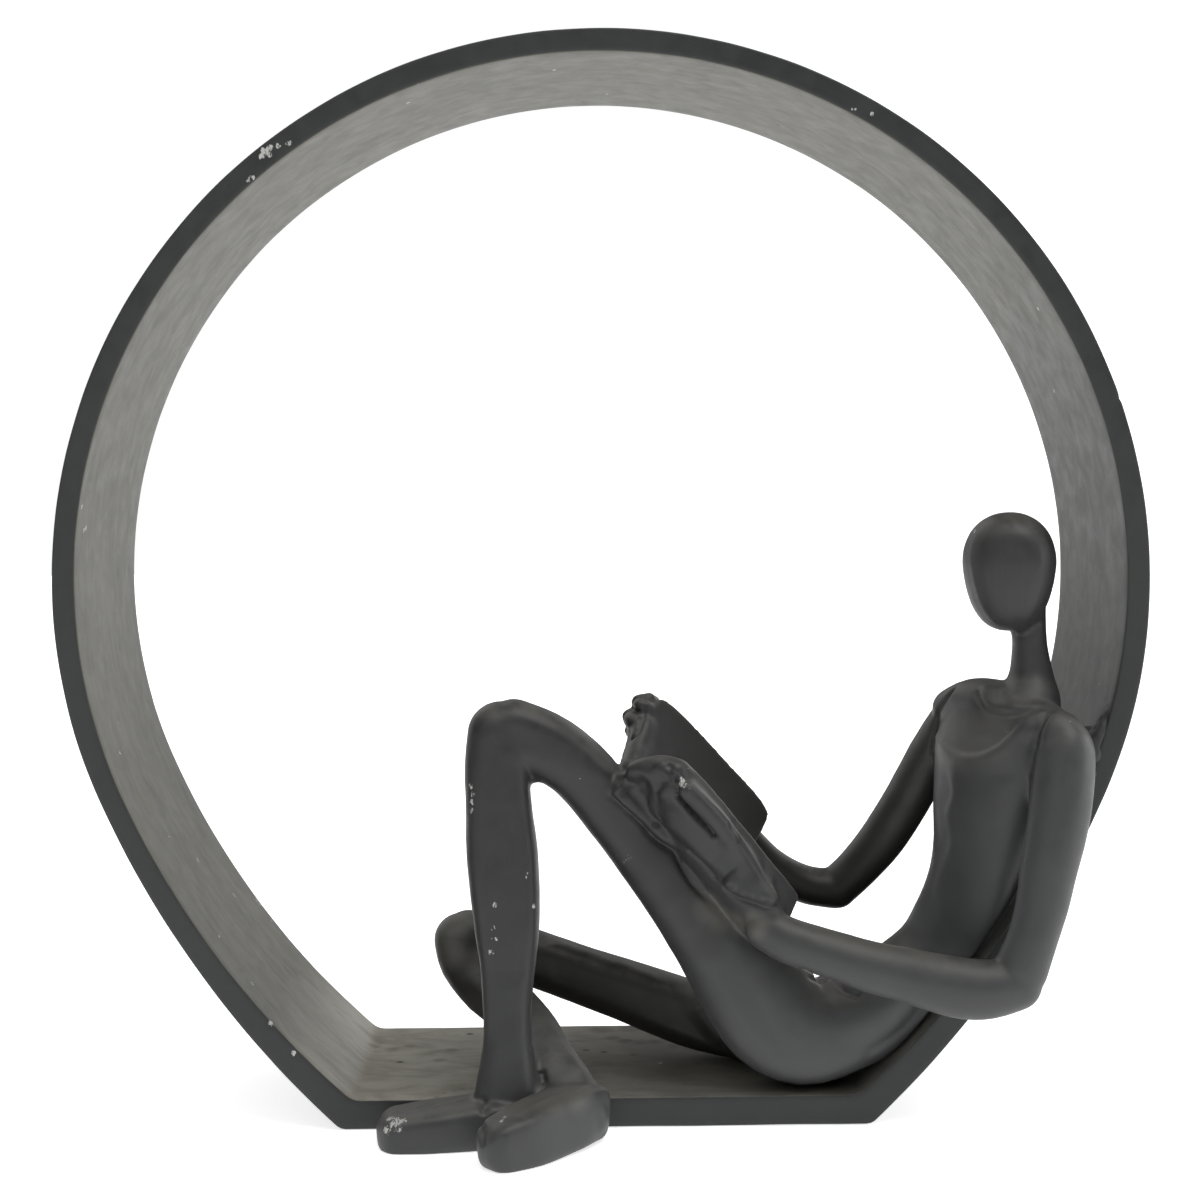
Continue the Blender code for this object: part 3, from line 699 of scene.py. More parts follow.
class Skin:
    """A mesh as arrays of points and triangles, sculpted by moving its points. Strokes are in millimetres."""

    def __init__(self, mesh):
        mesh.calc_loop_triangles()
        self.points = np.empty(len(mesh.vertices) * 3, dtype=np.float32)
        mesh.vertices.foreach_get("co", self.points)
        self.points = self.points.reshape(-1, 3).astype(float)
        self.triangles = np.empty(len(mesh.loop_triangles) * 3, dtype=np.int32)
        mesh.loop_triangles.foreach_get("vertices", self.triangles)
        self.triangles = self.triangles.reshape(-1, 3)
        self.look()

    def look(self):
        """Works out the normals again, and the tree that marks are dropped on."""
        a, b, c = (self.points[self.triangles[:, i]] for i in range(3))
        faces = np.cross(b - a, c - a)
        self.normals = np.empty_like(self.points)
        for axis in range(3):
            weights = np.repeat(faces[:, axis], 3)
            self.normals[:, axis] = np.bincount(self.triangles.ravel(), weights, len(self.points))
        self.normals /= np.linalg.norm(self.normals, axis=1, keepdims=True) + 1e-12
        self.tree = BVHTree.FromPolygons(self.points.tolist(), self.triangles.tolist())

    def line(self, pixels):
        """A smooth line on the skin through pixels of the photograph."""
        return np.array(flowing(dropped(self.tree, pixels)))

    def beside(self, path, reach):
        """The points near a path: which they are, their offset from it, its direction and share there."""
        low, high = path.min(axis=0) - reach, path.max(axis=0) + reach
        near = np.flatnonzero(np.all((self.points > low) & (self.points < high), axis=1))
        spots = self.points[near]
        offset = np.full((len(near), 3), np.inf)
        best = np.full(len(near), np.inf)
        way = np.zeros((len(near), 3))
        share = np.zeros(len(near))
        for i, (start, end) in enumerate(zip(path, path[1:])):
            run = end - start
            length = run.dot(run)
            along = np.clip((spots - start) @ run / length, 0.0, 1.0)
            off = spots - start - along[:, None] * run
            far = np.linalg.norm(off, axis=1)
            closer = far < best
            best[closer] = far[closer]
            offset[closer] = off[closer]
            way[closer] = run / sqrt(length)
            share[closer] = (i + along[closer]) / (len(path) - 1)
        kept = best < reach
        return near[kept], offset[kept], way[kept], share[kept]

    def groove(self, pixels, depth, width, faded=True):
        """Presses a groove along a line of the photograph, or raises a ridge where depth is negative."""
        depth *= MM
        width *= MM
        near, offset, _, share = self.beside(self.line(pixels), STROKE_REACH * width)
        fall = bell(offset, width)
        if faded:
            fall *= ends(share)
        self.points[near] -= self.normals[near] * (depth * fall)[:, None]

    def ridge(self, pixels, height, width, faded=True):
        self.groove(pixels, -height, width, faded)

    def step(self, pixels, height, edge, fade):
        """Raises the skin beside a line, on the left as one goes along it, with a clear edge on the line."""
        height *= MM
        edge *= MM
        fade *= MM
        near, offset, way, share = self.beside(self.line(pixels), STROKE_REACH * fade)
        toward = np.array(CAMERA_PLACE) - self.points[near]
        toward /= np.linalg.norm(toward, axis=1, keepdims=True)
        left = np.cross(toward, way)
        lateral = (offset * left).sum(axis=1)
        rise = 1 / (1 + np.exp(-np.clip(lateral / edge, -30, 30)))
        fall = bell(offset, fade) * ends(share, 0.0)
        facing = np.clip((self.normals[near] * toward).sum(axis=1) + 0.3, 0.0, 1.0)
        self.points[near] += self.normals[near] * (height * rise * fall * facing)[:, None]

    def dent(self, pixel, depth, width):
        """Presses a round dent, or raises a knob where depth is negative."""
        spots = dropped(self.tree, [pixel])
        if not spots:
            return
        width *= MM
        far = np.linalg.norm(self.points - np.array(spots[0]), axis=1)
        near = np.flatnonzero(far < STROKE_REACH * width)
        fall = depth * MM * np.exp(-((far[near] / width) ** 2))
        self.points[near] -= self.normals[near] * fall[:, None]

    def plane(self, corners, reach, strength, sink=0.0):
        """Draws the skin inside corners, given as pixels, towards the plane that fits them best."""
        spots = np.array(dropped(self.tree, corners))
        centre = spots.mean(axis=0)
        normal = np.linalg.svd(spots - centre)[2][2]
        toward = np.array(CAMERA_PLACE) - centre
        normal *= np.sign(normal @ toward)
        outline = spots - centre
        across = np.cross(normal, outline[0])
        across /= np.linalg.norm(across)
        up = np.cross(across, normal)
        flat = np.stack([(self.points - centre) @ across, (self.points - centre) @ up], axis=1)
        height = (self.points - centre) @ normal
        border = np.stack([outline @ across, outline @ up], axis=1)
        inside = np.ones(len(self.points))
        turn = np.sign(sum(np.cross(border[i - 1], border[i]) for i in range(len(border))))
        for i in range(len(border)):
            start, end = border[i - 1], border[i]
            run = (end - start) / np.linalg.norm(end - start)
            deep = turn * (run[0] * (flat[:, 1] - start[1]) - run[1] * (flat[:, 0] - start[0]))
            inside *= np.clip(deep / (reach * MM) + 0.5, 0.0, 1.0)
        inside *= (height > -PLANE_DEPTH) & (height < PLANE_RISE)
        inside *= np.clip((self.normals @ normal - 0.1) / 0.4, 0.0, 1.0)
        self.points -= normal * ((height + sink * MM) * strength * inside)[:, None]

    def soften(self, pixels, width, rounds):
        """Smooths the skin along a line of the photograph."""
        width *= MM
        near, offset, _, share = self.beside(self.line(pixels), STROKE_REACH * width)
        pull = np.zeros(len(self.points))
        pull[near] = bell(offset, width) * ends(share)
        touched = self.triangles[np.any(pull[self.triangles] > 0, axis=1)]
        edges = np.concatenate([touched[:, (0, 1)], touched[:, (1, 2)], touched[:, (2, 0)]])
        count = np.bincount(edges.ravel(), minlength=len(pull))[:, None] + 1e-9
        for _ in range(rounds):
            middle = np.empty_like(self.points)
            for axis in range(3):
                other = self.points[edges[:, ::-1].ravel(), axis]
                middle[:, axis] = np.bincount(edges.ravel(), other, len(pull))
            self.points[near] += ((middle / count - self.points) * pull[:, None])[near] * 0.5

    def uneven(self, size, height):
        """Low unevenness, as a hand-finished cast has."""
        size *= MM
        height *= MM
        for shift in (0.0, 7.3):
            waves = [noise.noise(Vector(p) / size + Vector((shift, 0.0, 0.0))) for p in self.points]
            self.points += self.normals * (height * np.array(waves))[:, None]
            size /= 2.6
            height /= 2.2

    def write(self, mesh):
        mesh.vertices.foreach_set("co", self.points.astype(np.float32).ravel())
        mesh.update()


def cast_skin():
    """All the forms as one skin, rounded in their hollows."""
    work = bmesh.new()
    for form in FORMS:
        form(work)
    bmesh.ops.recalc_face_normals(work, faces=work.faces)
    obj = recast("cast_reader", work)
    soft = obj.modifiers.new("soft hollows", "SMOOTH")
    soft.factor = 0.5
    soft.iterations = SKIN_SMOOTHING
    apply_modifiers(obj)
    return obj


def shown(name, mesh):
    """A new object of the scene."""
    obj = bpy.data.objects.new(name, mesh)
    bpy.context.scene.collection.objects.link(obj)
    return obj


def recast(name, work):
    """A new object whose overlapping forms are melted into one closed skin."""
    mesh = bpy.data.meshes.new(name)
    work.to_mesh(mesh)
    work.free()
    obj = shown(name, mesh)
    cast = obj.modifiers.new("one cast skin", "REMESH")
    cast.mode = "VOXEL"
    cast.voxel_size = SKIN_VOXEL
    return obj


def apply_modifiers(obj):
    bpy.context.view_layer.update()
    made = bpy.data.meshes.new_from_object(obj.evaluated_get(bpy.context.evaluated_depsgraph_get()))
    made.name = obj.name
    obj.modifiers.clear()
    obj.data = made


def keep_in_the_ring(points):
    """Pushes the points at the ring's depth to a bond's gap inside its wall and above its base."""
    inside = points[:, 1] > FRONT - BOND_GAP
    x, z = points[:, 0], points[:, 2]
    flank_centre, flank_radius = flank_arc(RING_RADIUS, Vector((BASE_LENGTH / 2, 0.0)))
    leave = RING_CENTRE_HEIGHT - (RING_RADIUS - RING_WALL) * sin(FLANK_START)
    circle = z > leave
    centre_x = np.where(circle, 0.0, flank_centre.x)
    centre_z = np.where(circle, RING_CENTRE_HEIGHT, flank_centre.y)
    most = np.where(circle, RING_RADIUS - RING_WALL, flank_radius - FLANK_FOOT_WALL) - BOND_GAP
    out_x, out_z = x - centre_x, z - centre_z
    reach = np.hypot(out_x, out_z)
    over = inside & (reach > most) & (x > 0)
    points[over, 0] = (centre_x + out_x * most / reach)[over]
    points[over, 2] = (centre_z + out_z * most / reach)[over]
    floor = BASE_THICKNESS + BOND_GAP
    low = (points[:, 1] > FRONT - BOND_GAP) & (points[:, 2] < floor)
    sunk = floor - points[:, 2]
    back = points[:, 1] - (FRONT - BOND_GAP)
    forward = low & (back < sunk) & (points[:, 0] < STANDING_X)
    points[forward, 1] = FRONT - BOND_GAP
    rest = low & ~forward
    points[rest, 2] = floor
    points[:, 2] = np.maximum(points[:, 2], 0.0)


def work_head(skin):
    skin.plane(((988, 528), (1036, 540), (1046, 575), (1028, 612), (1000, 616), (984, 570)), 8, 0.3)
    skin.ridge(((982, 527), (971, 556), (977, 590), (986, 612), (999, 626)), 0.15, 0.9)
    skin.groove(((1012, 633), (1026, 635), (1040, 622)), 0.4, 1.2)
    skin.dent((975, 531), 0.25, 0.5)


def work_chest(skin):
    skin.plane(((962, 702), (990, 722), (1030, 708), (1020, 735), (990, 746), (958, 738)), 4, 0.4, 0.5)
    skin.step(NECKLINE[::-1], 1.3, 0.3, 4.0)
    skin.ridge(NECKLINE, 0.6, 0.8)
    skin.groove(((976, 690), (979, 700), (986, 710), (1000, 714), (1017, 713), (1043, 708)), 0.7, 0.9)
    skin.ridge(((984, 684), (988, 700), (1000, 706), (1020, 705)), 0.3, 1.3)
    skin.groove(ARMPIT, 1.0, 1.1)
    skin.ridge(((1060, 712), (1047, 730), (1042, 752)), 0.4, 1.6)
    skin.step(TUNIC_SIDE, 0.6, 0.35, 3.5)
    skin.ridge(((1003, 775), (1005, 810), (1001, 850), (990, 890)), 0.35, 3.5)
    skin.groove(((957, 686), (945, 700), (937, 716), (934, 735), (933, 758)), 0.9, 0.8)


def work_book(skin):
    skin.soften(((680, 770), (700, 790), (722, 812), (742, 838), (762, 866), (784, 896)), 3.0, 80)
    skin.soften(((640, 768), (655, 775), (655, 795), (662, 812), (684, 830)), 2.0, 30)
    skin.look()
    skin.step(COVER_EDGE, 1.8, 0.35, 5.0)
    skin.groove(((620, 786), (633, 796), (646, 812), (658, 828)), 1.0, 2.6)
    skin.ridge(COVER_EDGE, 0.6, 0.9)
    skin.ridge(((657, 763), (668, 772), (671, 786), (664, 799)), 0.7, 1.7)
    skin.groove(((667, 765), (672, 773), (676, 782), (678, 796)), 2.4, 0.75)
    skin.ridge(((684, 783), (694, 795), (708, 811), (722, 828), (738, 846)), 1.2, 2.3)
    skin.groove(((677, 796), (683, 804), (697, 818), (709, 829), (716, 838)), 2.6, 0.75)
    skin.ridge(((690, 845), (706, 858), (722, 872), (738, 886)), 0.4, 1.6)
    skin.groove(((687, 849), (697, 858), (707, 868), (717, 880)), 0.6, 0.6)
    skin.groove(((670, 820), (684, 833), (698, 845), (706, 852)), 0.4, 0.6)
    skin.step(((728, 822), (743, 846), (757, 866), (771, 880)), -1.0, 0.7, 4.5)


def work_book_edges(skin):
    skin.step(PAGE_FOOT, 2.2, 0.45, 4.5)
    skin.groove(tuple((u, v + 4) for u, v in PAGE_FOOT), 0.8, 0.8)
    skin.step(ON_THE_THIGH, 0.6, 0.3, 3.0)
    skin.groove(ON_THE_THIGH, 1.5, 0.9)


def work_far_hand(skin):
    skin.soften(((662, 704), (659, 720), (655, 736), (646, 752)), 2.5, 60)
    skin.groove(((645, 708), (642, 720), (637, 733), (629, 742)), 0.9, 0.8)
    for pixel, height, width in (((651, 697), 0.8, 1.4), ((638, 704), 0.7, 1.4), ((630, 722), 1.0, 2.2)):
        skin.dent(pixel, -height, width)
    for line in (((644, 696), (645, 706)), ((631, 706), (638, 711))):
        skin.groove(line, 0.6, 0.7, faded=False)


def work_legs(skin):
    skin.plane(((482, 735), (520, 735), (530, 830), (534, 900), (526, 980), (492, 980), (478, 860)), 4, 0.55)
    skin.plane(((500, 715), (560, 735), (625, 790), (600, 800), (550, 768), (500, 760)), 4, 0.45)
    skin.plane(((600, 780), (700, 880), (760, 990), (800, 1060), (770, 1060), (690, 940), (620, 840)), 4, 0.3)
    skin.plane(((550, 955), (680, 998), (720, 1050), (640, 1018), (556, 985)), 3, 0.6)
    skin.step(FAR_THIGH_EDGE, 0.8, 0.25, 2.6)
    skin.ridge(UNDER_THE_THIGH, 0.4, 2.2)
    skin.groove(((476, 921), (452, 926), (440, 938)), 0.2, 2.0)
    skin.groove(((803, 968), (822, 980), (844, 990), (862, 996)), 1.2, 1.2)


def work_feet(skin):
    skin.ridge(((500, 1122), (522, 1112), (548, 1099), (574, 1091), (594, 1083)), 0.3, 0.9)
    skin.ridge(((392, 1120), (403, 1115), (427, 1109), (455, 1102), (470, 1098)), 0.25, 0.9)
    skin.groove(((541, 1070), (543, 1080), (538, 1092)), 0.9, 0.9)
    skin.groove(((481, 1096), (484, 1110), (482, 1130), (483, 1148)), 0.8, 1.0)


def cast_reader():
    """The reader as a fine cast skin, in the place of the part's own solid."""
    obj = cast_skin()
    skin = Skin(obj.data)
    keep_in_the_ring(skin.points)
    skin.look()
    for work in (work_legs, work_feet, work_chest, work_head, work_book, work_book_edges, work_far_hand):
        work(skin)
        skin.look()
    skin.uneven(9, 0.10)
    keep_in_the_ring(skin.points)
    skin.points = np.clip(skin.points, np.array(cad_low), np.array(cad_high))
    skin.write(obj.data)
    fewer = obj.modifiers.new("fewer faces", "DECIMATE")
    fewer.ratio = min(1.0, SKIN_MOST_TRIANGLES / len(skin.triangles))
    apply_modifiers(obj)
    obj.data.shade_smooth()
    return obj, skin


# The ring's band

def eased(points, index, reach):
    """An outline with its corner at index rounded over reach on each side."""
    corner = points[index].copy()
    before = corner - points[index - 1]
    after = points[index + 1] - corner
    start = corner - before.normalized() * reach
    end = corner + after.normalized() * reach
    found = []
    for i, point in enumerate(points):
        along = (point - corner).length * (1 if i > index else -1)
        if abs(along) < reach:
            t = (along + reach) / (2 * reach)
            point = (1 - t) ** 2 * start + 2 * t * (1 - t) * corner + t * t * end
        found.append(point)
    return found


def closed_outline(radius, foot, corner_round):
    half = eased(half_outline(radius, foot), BASE_STEPS, corner_round)
    other = [Vector((-p.x, p.y)) for p in reversed(half[1:-1])]
    return np.array([(p.x, p.y) for p in half + other])


def band_section():
    """The band's cross-section: how far across the wall each point is, an offset there, and its depth."""
    ease, half = RING_EDGE_EASE, RING_DEPTH / 2
    front = []
    for i in range(WALL_STEPS + 1):
        front.append((0.0, 0.0, half - ease - (2 * half - 2 * ease) * i / WALL_STEPS))
    for i in range(1, EDGE_STEPS):
        angle = pi / 2 * i / EDGE_STEPS
        front.append((0.0, ease * (1 - cos(angle)), -half + ease * (1 - sin(angle))))
    for i in range(FACE_STEPS + 1):
        t = i / FACE_STEPS
        front.append((t, ease * (1 - 2 * t), -half))
    for i in range(1, EDGE_STEPS):
        angle = pi / 2 * i / EDGE_STEPS
        front.append((1.0, -ease * (1 - sin(angle)), -half + ease * (1 - cos(angle))))
    back = [(1 - across, -offset, -depth) for across, offset, depth in front]
    return front + back


def cast_ring():
    """The flat-bottomed ring as one fine band, in the place of the part's own solid."""
    outer = closed_outline(RING_RADIUS, Vector((BASE_LENGTH / 2, 0.0)), OUTER_CORNER_ROUND)
    inner = closed_outline(RING_RADIUS - RING_WALL, inner_foot(), INNER_CORNER_ROUND)
    across = outer - inner
    way = across / np.linalg.norm(across, axis=1, keepdims=True)
    rows = []
    for share, offset, depth in band_section():
        flat = inner + across * share + way * offset
        rows.append(np.stack([flat[:, 0], np.full(len(flat), depth), flat[:, 1]], axis=1))
    points = np.stack(rows, axis=1)
    stations, around = points.shape[:2]
    index = np.arange(stations * around).reshape(stations, around)
    ahead = np.roll(index, -1, axis=0)
    faces = np.stack([index, ahead, np.roll(ahead, -1, axis=1), np.roll(index, -1, axis=1)], axis=-1)
    mesh = bpy.data.meshes.new("cast_ring")
    mesh.from_pydata(points.reshape(-1, 3).tolist(), [], faces.reshape(-1, 4).tolist())
    mesh.validate()
    obj = shown("cast_ring", mesh)
    skin = Skin(mesh)
    if skin.normals[0].dot(skin.points[0] - np.array((0.0, 0.0, RING_CENTRE_HEIGHT))) > 0:
        mesh.flip_normals()
        skin = Skin(mesh)
    work_ring(skin)
    skin.points = np.clip(skin.points, np.array(cad_low), np.array(cad_high))
    skin.write(mesh)
    mesh.shade_smooth()
    mesh.set_sharp_from_angle(angle=RING_SHARP_ANGLE)
    return obj, skin


def work_ring(skin):
    skin.uneven(24, 0.10)
    skin.groove(SEAM, 0.25, 0.8)
    skin.ridge(SEAM_LIP, 0.2, 1.2)
    skin.groove(BASE_CRACK, 0.2, 0.6)
    for pixel in RING_NICKS:
        skin.dent(pixel, 0.3, 0.8)
    skin.look()


def shoulder_filler(skin):
    """The filler that bonds the near shoulder to the ring's wall: a small smeared lump."""
    work = bmesh.new()
    stations = [
        (118.5, 3.5, 84.0, 2.5, 3.4),
        (119.2, 3.5, 89.5, 2.8, 3.6),
        (121.2, 3.5, 95.0, 2.2, 3.2),
        (124.2, 3.5, 101.5, 1.4, 2.4),
        (127.0, 3.5, 107.0, 1.0, 1.6),
    ]
    limb(work, drawn(stations))
    obj = recast("shoulder_filler", work)
    apply_modifiers(obj)
    lump = Skin(obj.data)
    lump.uneven(4, 0.5)
    lump.write(obj.data)
    obj.data.shade_smooth()
    return obj


# Paint

def add(tree, kind, inputs=None, **settings):
    """A shader node, with its settings, and its inputs either linked or given a value."""
    made = tree.nodes.new(kind)
    for name, value in settings.items():
        setattr(made, name, value)
    for name, value in (inputs or {}).items():
        if isinstance(value, bpy.types.NodeSocket):
            tree.links.new(value, made.inputs[name])
        else:
            made.inputs[name].default_value = value
    return made


def field(tree, where, scale, detail=3.0, rough=0.55, distortion=0.0):
    """Noise between 0 and 1, at scale features a metre."""
    inputs = {"Vector": where, "Scale": scale, "Detail": detail, "Roughness": rough, "Distortion": distortion}
    return add(tree, "ShaderNodeTexNoise", inputs).outputs["Fac"]


def ramp(tree, value, low, high, to_low=0.0, to_high=1.0):
    inputs = {"Value": value, "From Min": low, "From Max": high, "To Min": to_low, "To Max": to_high}
    return add(tree, "ShaderNodeMapRange", inputs, interpolation_type="SMOOTHSTEP").outputs["Result"]


def maths(tree, operation, first, second):
    return add(tree, "ShaderNodeMath", {0: first, 1: second}, operation=operation).outputs["Value"]


def times(tree, first, second):
    return maths(tree, "MULTIPLY", first, second)


def plus(tree, first, second):
    return maths(tree, "ADD", first, second)


def between(tree, operation, first, second):
    return add(tree, "ShaderNodeVectorMath", {0: first, 1: second}, operation=operation)


def stretched(tree, where, factors):
    return between(tree, "MULTIPLY", where, factors).outputs["Vector"]


def mixed(tree, share, first, second):
    made = add(tree, "ShaderNodeMix", data_type="RGBA")
    for name, value in {"Factor": share, "A": first, "B": second}.items():
        socket = next(s for s in made.inputs if s.name == name and s.enabled)
        if isinstance(value, bpy.types.NodeSocket):
            tree.links.new(value, socket)
        else:
            socket.default_value = value
    return next(s for s in made.outputs if s.enabled)


def specks(tree, where, cell, radius, share):
    """Small round marks, one at most in each cell, on a share of the cells."""
    voronoi = add(tree, "ShaderNodeTexVoronoi", {"Vector": where, "Scale": 1 / cell}, feature="F1")
    spot = ramp(tree, voronoi.outputs["Distance"], radius / cell, 0.6 * radius / cell)
    parts = add(tree, "ShaderNodeSeparateColor", {"Color": voronoi.outputs["Color"]})
    chosen = maths(tree, "LESS_THAN", parts.outputs["Red"], share)
    return times(tree, spot, chosen)


def spot_mask(tree, where, spots):
    """How near the middle of a spot each place is, from its strength there to 0 at its rim."""
    found = None
    for middle, radius, strength in spots:
        far = between(tree, "DISTANCE", where, middle).outputs["Value"]
        spot = ramp(tree, far, radius, SPOT_CORE * radius, 0.0, strength)
        found = spot if found is None else maths(tree, "MAXIMUM", found, spot)
    return found


def paint(name, dark, light, chips, dirt_and_shade, painted_light_spots=None):
    """Matte graphite paint over pale resin, with mottling, white specks, pin holes, chips, dirt, dust, and
    painted light and shade.

    The reader has painted light in spots and on top, and the ring, which has none of those, has dust with a
    painted reflection on its inner wall.
    """
    material = bpy.data.materials.new(name)
    material.use_nodes = True
    tree = material.node_tree
    shader = tree.nodes["Principled BSDF"]
    where = add(tree, "ShaderNodeTexCoord").outputs["Object"]
    cloud = field(tree, where, CLOUD_SCALE, 4.0)
    mottle = field(tree, where, MOTTLE_SCALE, 4.0, 0.6, 0.4)
    grain = field(tree, where, GRAIN_SCALE, 2.0)
    blend = plus(tree, times(tree, cloud, 0.5), times(tree, mottle, 0.5))
    tone = ramp(tree, blend, 0.32, 0.68)
    spot = add(tree, "ShaderNodeSeparateXYZ", {"Vector": where}).outputs
    if painted_light_spots:
        # Painted light: paler to the right and low down, where the light from the right and the floor's
        # bounce fall
        rightward = times(tree, spot["X"], PAINTED_LIGHT_RIGHTWARD)
        lit_right_and_low = ramp(tree, maths(tree, "SUBTRACT", rightward, spot["Z"]), *PAINTED_LIGHT_STRETCH)
        tone = times(tree, tone, 1 - PAINTED_LIGHT_SHARE)
        tone = plus(tree, tone, times(tree, lit_right_and_low, PAINTED_LIGHT_SHARE))
    colour = mixed(tree, tone, dark, light)
    if painted_light_spots:
        # Painted shade: darker towards the back, where the ring shades the reader's far side
        colour = mixed(tree, ramp(tree, spot["Y"], *BACK_SHADE_DEPTHS), colour, FIGURE_BACK_SHADE)
        # Painted light: paler where the surface faces up and the light from above falls, broken by the noise
        facing = add(tree, "ShaderNodeNewGeometry").outputs["Normal"]
        upward = add(tree, "ShaderNodeSeparateXYZ", {"Vector": facing}).outputs["Z"]
        pale_top = times(tree, ramp(tree, upward, 0.25, 0.9), ramp(tree, blend, 0.3, 0.6))
        colour = mixed(tree, pale_top, colour, FIGURE_PAINTED_LIGHT)
        # Painted light in spots
        colour = mixed(tree, spot_mask(tree, where, painted_light_spots), colour, FIGURE_PAINTED_LIGHT)
    else:
        # The inner wall and the base's top: dust and streaks, made paler as a painted reflection
        inner = add(tree, "ShaderNodeAttribute", attribute_name="inner_wall").outputs["Fac"]
        streaks = field(tree, stretched(tree, where, STREAK_STRETCH), STREAK_SCALE, 5.0, 0.65, 1.2)
        stained = plus(tree, times(tree, blend, 1 - STREAK_SHARE), times(tree, streaks, STREAK_SHARE))
        dust_and_sheen = mixed(tree, ramp(tree, stained, 0.36, 0.62), WALL_DUST_SHEEN_DARK, WALL_DUST_SHEEN_LIGHT)
        pale_top = mixed(tree, ramp(tree, stained, 0.36, 0.6), BASE_STAIN_AND_SHEEN, BASE_DUST_AND_SHEEN)
        dust_and_sheen = mixed(tree, ramp(tree, spot["Z"], *BASE_HEIGHTS), dust_and_sheen, pale_top)
        colour = mixed(tree, inner, colour, dust_and_sheen)
    ragged = add(tree, "ShaderNodeTexNoise", {"Vector": where, "Scale": RAGGED_SCALE, "Detail": 3.0})
    centred = between(tree, "SUBTRACT", ragged.outputs["Color"], (0.5, 0.5, 0.5)).outputs["Vector"]
    push = stretched(tree, centred, (CHIP_RAGGEDNESS,) * 3)
    shaken = between(tree, "ADD", where, push).outputs["Vector"]
    white = specks(tree, where, 6.5 * MM, 0.16 * MM, 0.35)
    scuffs = field(tree, stretched(tree, where, SCUFF_STRETCH), SCUFF_SCALE, 4.0, 0.7)
    flecks = ramp(tree, times(tree, spot_mask(tree, shaken, chips), scuffs), 0.41, 0.5)
    white = maths(tree, "MAXIMUM", white, flecks)
    pits = specks(tree, shaken, 9.0 * MM, 0.22 * MM, 0.3)
    # Dirt, and painted shade in creases, under the book and where the reader meets the base
    dirt_and_shade_mask = times(tree, spot_mask(tree, shaken, dirt_and_shade), ramp(tree, mottle, 0.2, 0.5, 0.6, 1.0))
    colour = mixed(tree, dirt_and_shade_mask, colour, PIT_AND_SHADE_COLOUR)
    colour = mixed(tree, white, colour, CHIP_COLOUR)
    colour = mixed(tree, pits, colour, PIT_AND_SHADE_COLOUR)
    tree.links.new(colour, shader.inputs["Base Color"])
    smooth, coarse = PAINT_ROUGHNESS - ROUGHNESS_SPREAD, PAINT_ROUGHNESS + ROUGHNESS_SPREAD
    rough = ramp(tree, mottle, 0.25, 0.75, smooth, coarse)
    tree.links.new(rough, shader.inputs["Roughness"])
    shader.inputs["Specular IOR Level"].default_value = PAINT_SPECULAR
    height = plus(tree, times(tree, mottle, 0.7), times(tree, grain, 0.12))
    height = maths(tree, "SUBTRACT", height, times(tree, pits, 0.8))
    height = maths(tree, "SUBTRACT", height, times(tree, flecks, 0.25))
    bump = add(tree, "ShaderNodeBump", {"Height": height, "Strength": BUMP_STRENGTH, "Distance": BUMP_DEPTH})
    tree.links.new(bump.outputs["Normal"], shader.inputs["Normal"])
    return material


def eased_step(value, low, high):
    """0 below low, 1 above high and a smooth rise between."""
    t = min(1.0, max(0.0, (value - low) / (high - low)))
    return t * t * (3 - 2 * t)


def mark_inner_wall(obj):
    """Marks the ring's wall and the base's top, which face its middle, for their paler paint of dust and
    painted reflection, with less of it where painted shade falls on the base's top under the reader and on
    the right wall.
    """
    mesh = obj.data
    attribute = mesh.attributes.new("inner_wall", "FLOAT", "POINT")
    middle = Vector((0.0, 0.0, RING_CENTRE_HEIGHT))
    for i, vert in enumerate(mesh.vertices):
        inward = (middle - vert.co).normalized().dot(vert.normal)
        kept = min(1.0, max(0.0, (inward - INWARD_FROM) / INWARD_RISE))
        # Painted shade: less of the pale paint on the base's top under the reader and on the right wall
        for across, down, loss in (BASE_PAINTED_SHADE, RIGHT_WALL_LOW_SHADE):
            kept *= 1 - loss * eased_step(vert.co.x, *across) * eased_step(-vert.co.z, *down)
        across, loss = WALL_SHADED
        attribute.data[i].value = kept * (1 - loss * eased_step(vert.co.x, *across))


def spots_at(tree, groups):
    """Places on the skin under pixels of the photograph, with a spot's radius and strength for each."""
    found = []
    for pixels, radius, strength in groups:
        found += [(spot, radius, strength) for spot in dropped(tree, pixels)]
    return found


# Floor and light

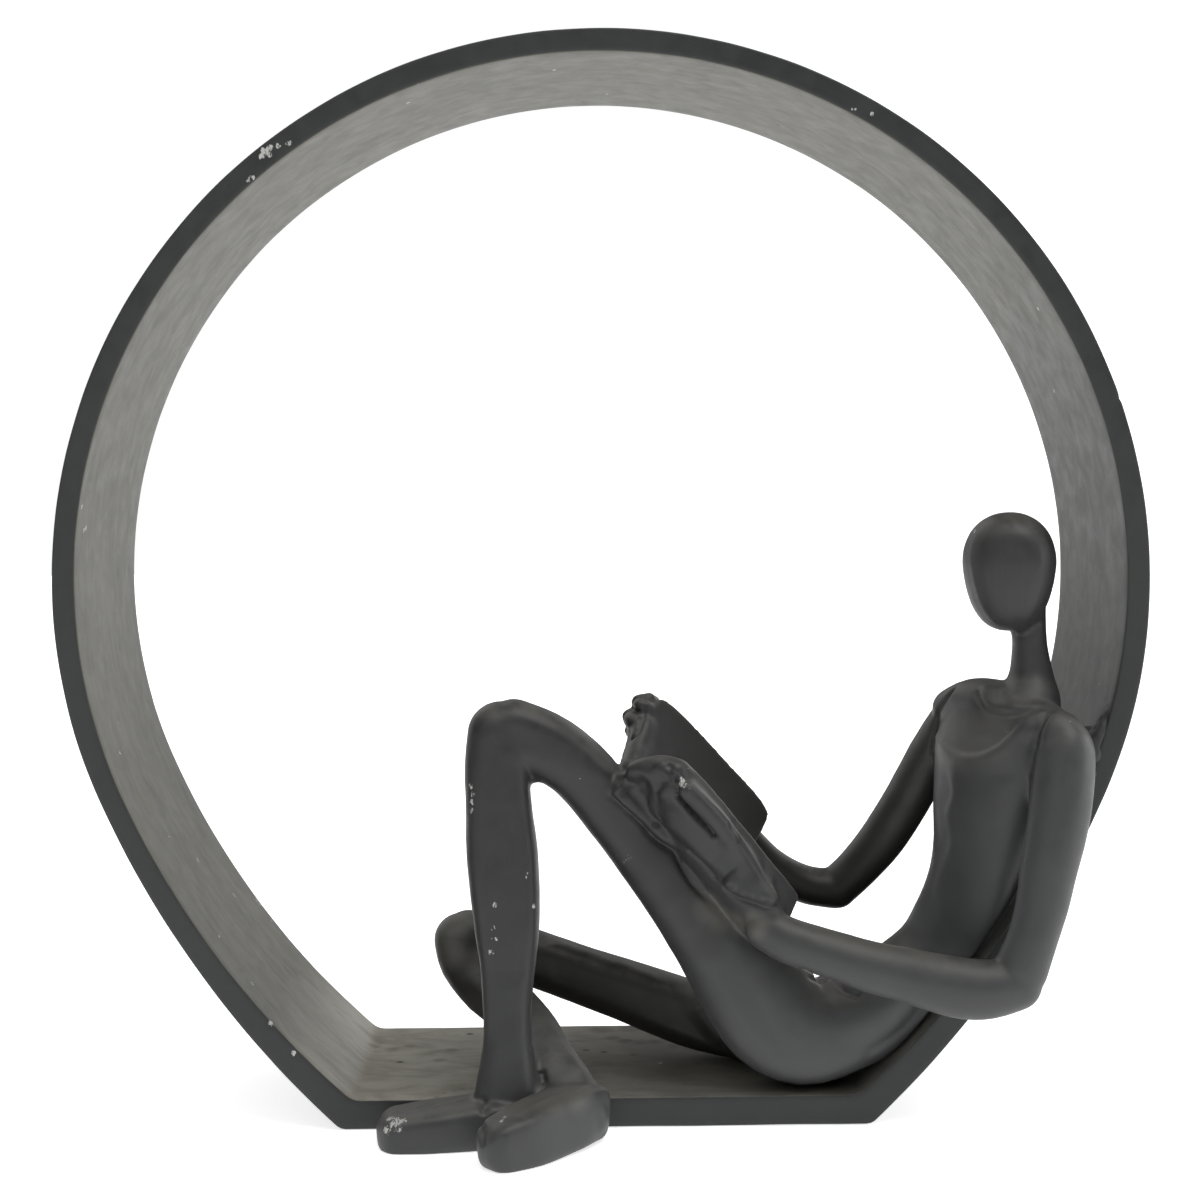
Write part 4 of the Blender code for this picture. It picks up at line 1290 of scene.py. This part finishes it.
def pale_floor():
    mesh = bpy.data.meshes.new("floor")
    half = FLOOR_SIZE / 2
    corners = [(-half, -half, 0.0), (half, -half, 0.0), (half, half, 0.0), (-half, half, 0.0)]
    mesh.from_pydata(corners, [], [(0, 1, 2, 3)])
    floor = shown("floor", mesh)
    floor.location.z = -FLOOR_GAP
    material = bpy.data.materials.new("floor_white")
    material.use_nodes = True
    shader = material.node_tree.nodes["Principled BSDF"].inputs
    shader["Base Color"].default_value = FLOOR_COLOUR
    shader["Roughness"].default_value = 0.9
    shader["Specular IOR Level"].default_value = 0.1
    shader["Emission Color"].default_value = (1.0, 1.0, 1.0, 1.0)
    shader["Emission Strength"].default_value = FLOOR_GLOW
    mesh.materials.append(material)


def soft_box(tree, way, azimuth, elevation, wide):
    """How much of a soft box lies in each direction of the world."""
    azimuth, elevation = radians(azimuth), radians(elevation)
    middle = (cos(azimuth) * cos(elevation), sin(azimuth) * cos(elevation), sin(elevation))
    near = between(tree, "DOT_PRODUCT", way, middle).outputs["Value"]
    return ramp(tree, near, cos(radians(wide)), cos(radians(BOX_CORE * wide)))


def studio():
    world = bpy.data.worlds.new("white_studio")
    world.use_nodes = True
    tree = world.node_tree
    background = tree.nodes["Background"]
    background.inputs["Color"].default_value = (1.0, 1.0, 1.0, 1.0)
    way = add(tree, "ShaderNodeTexCoord").outputs["Generated"]
    lit = add(tree, "ShaderNodeLightPath").outputs["Is Camera Ray"]
    for *where, strength in STUDIO_BOXES:
        lit = plus(tree, times(tree, soft_box(tree, way, *where), strength), lit)
    tree.links.new(lit, background.inputs["Strength"])
    bpy.context.scene.world = world
    bpy.context.scene.view_settings.view_transform = "Standard"


photo_camera()

reader, reader_skin = cast_reader()
ring, ring_skin = cast_ring()
filler = shoulder_filler(reader_skin)
mark_inner_wall(ring)

figure_chips = spots_at(reader_skin.tree, FIGURE_CHIPS)
figure_painted_shade = spots_at(reader_skin.tree, FIGURE_PAINTED_SHADE)
figure_painted_light = spots_at(reader_skin.tree, PAINTED_LIGHT_SPOTS)
figure_paint = paint("figure_paint", FIGURE_DARK, FIGURE_LIGHT, figure_chips, figure_painted_shade, figure_painted_light)
ring_chips = spots_at(ring_skin.tree, RING_CHIPS)
ring_dirt_and_shade = spots_at(ring_skin.tree, RING_DIRT_AND_SHADE)
ring_paint = paint("ring_paint", RING_DARK, RING_LIGHT, ring_chips, ring_dirt_and_shade)
reader.data.materials.append(figure_paint)
filler.data.materials.append(figure_paint)
ring.data.materials.append(ring_paint)

for piece in (reader, ring, filler):
    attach(piece, "root")
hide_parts("reading_figure")
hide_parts("ring_frame")

pale_floor()
studio()
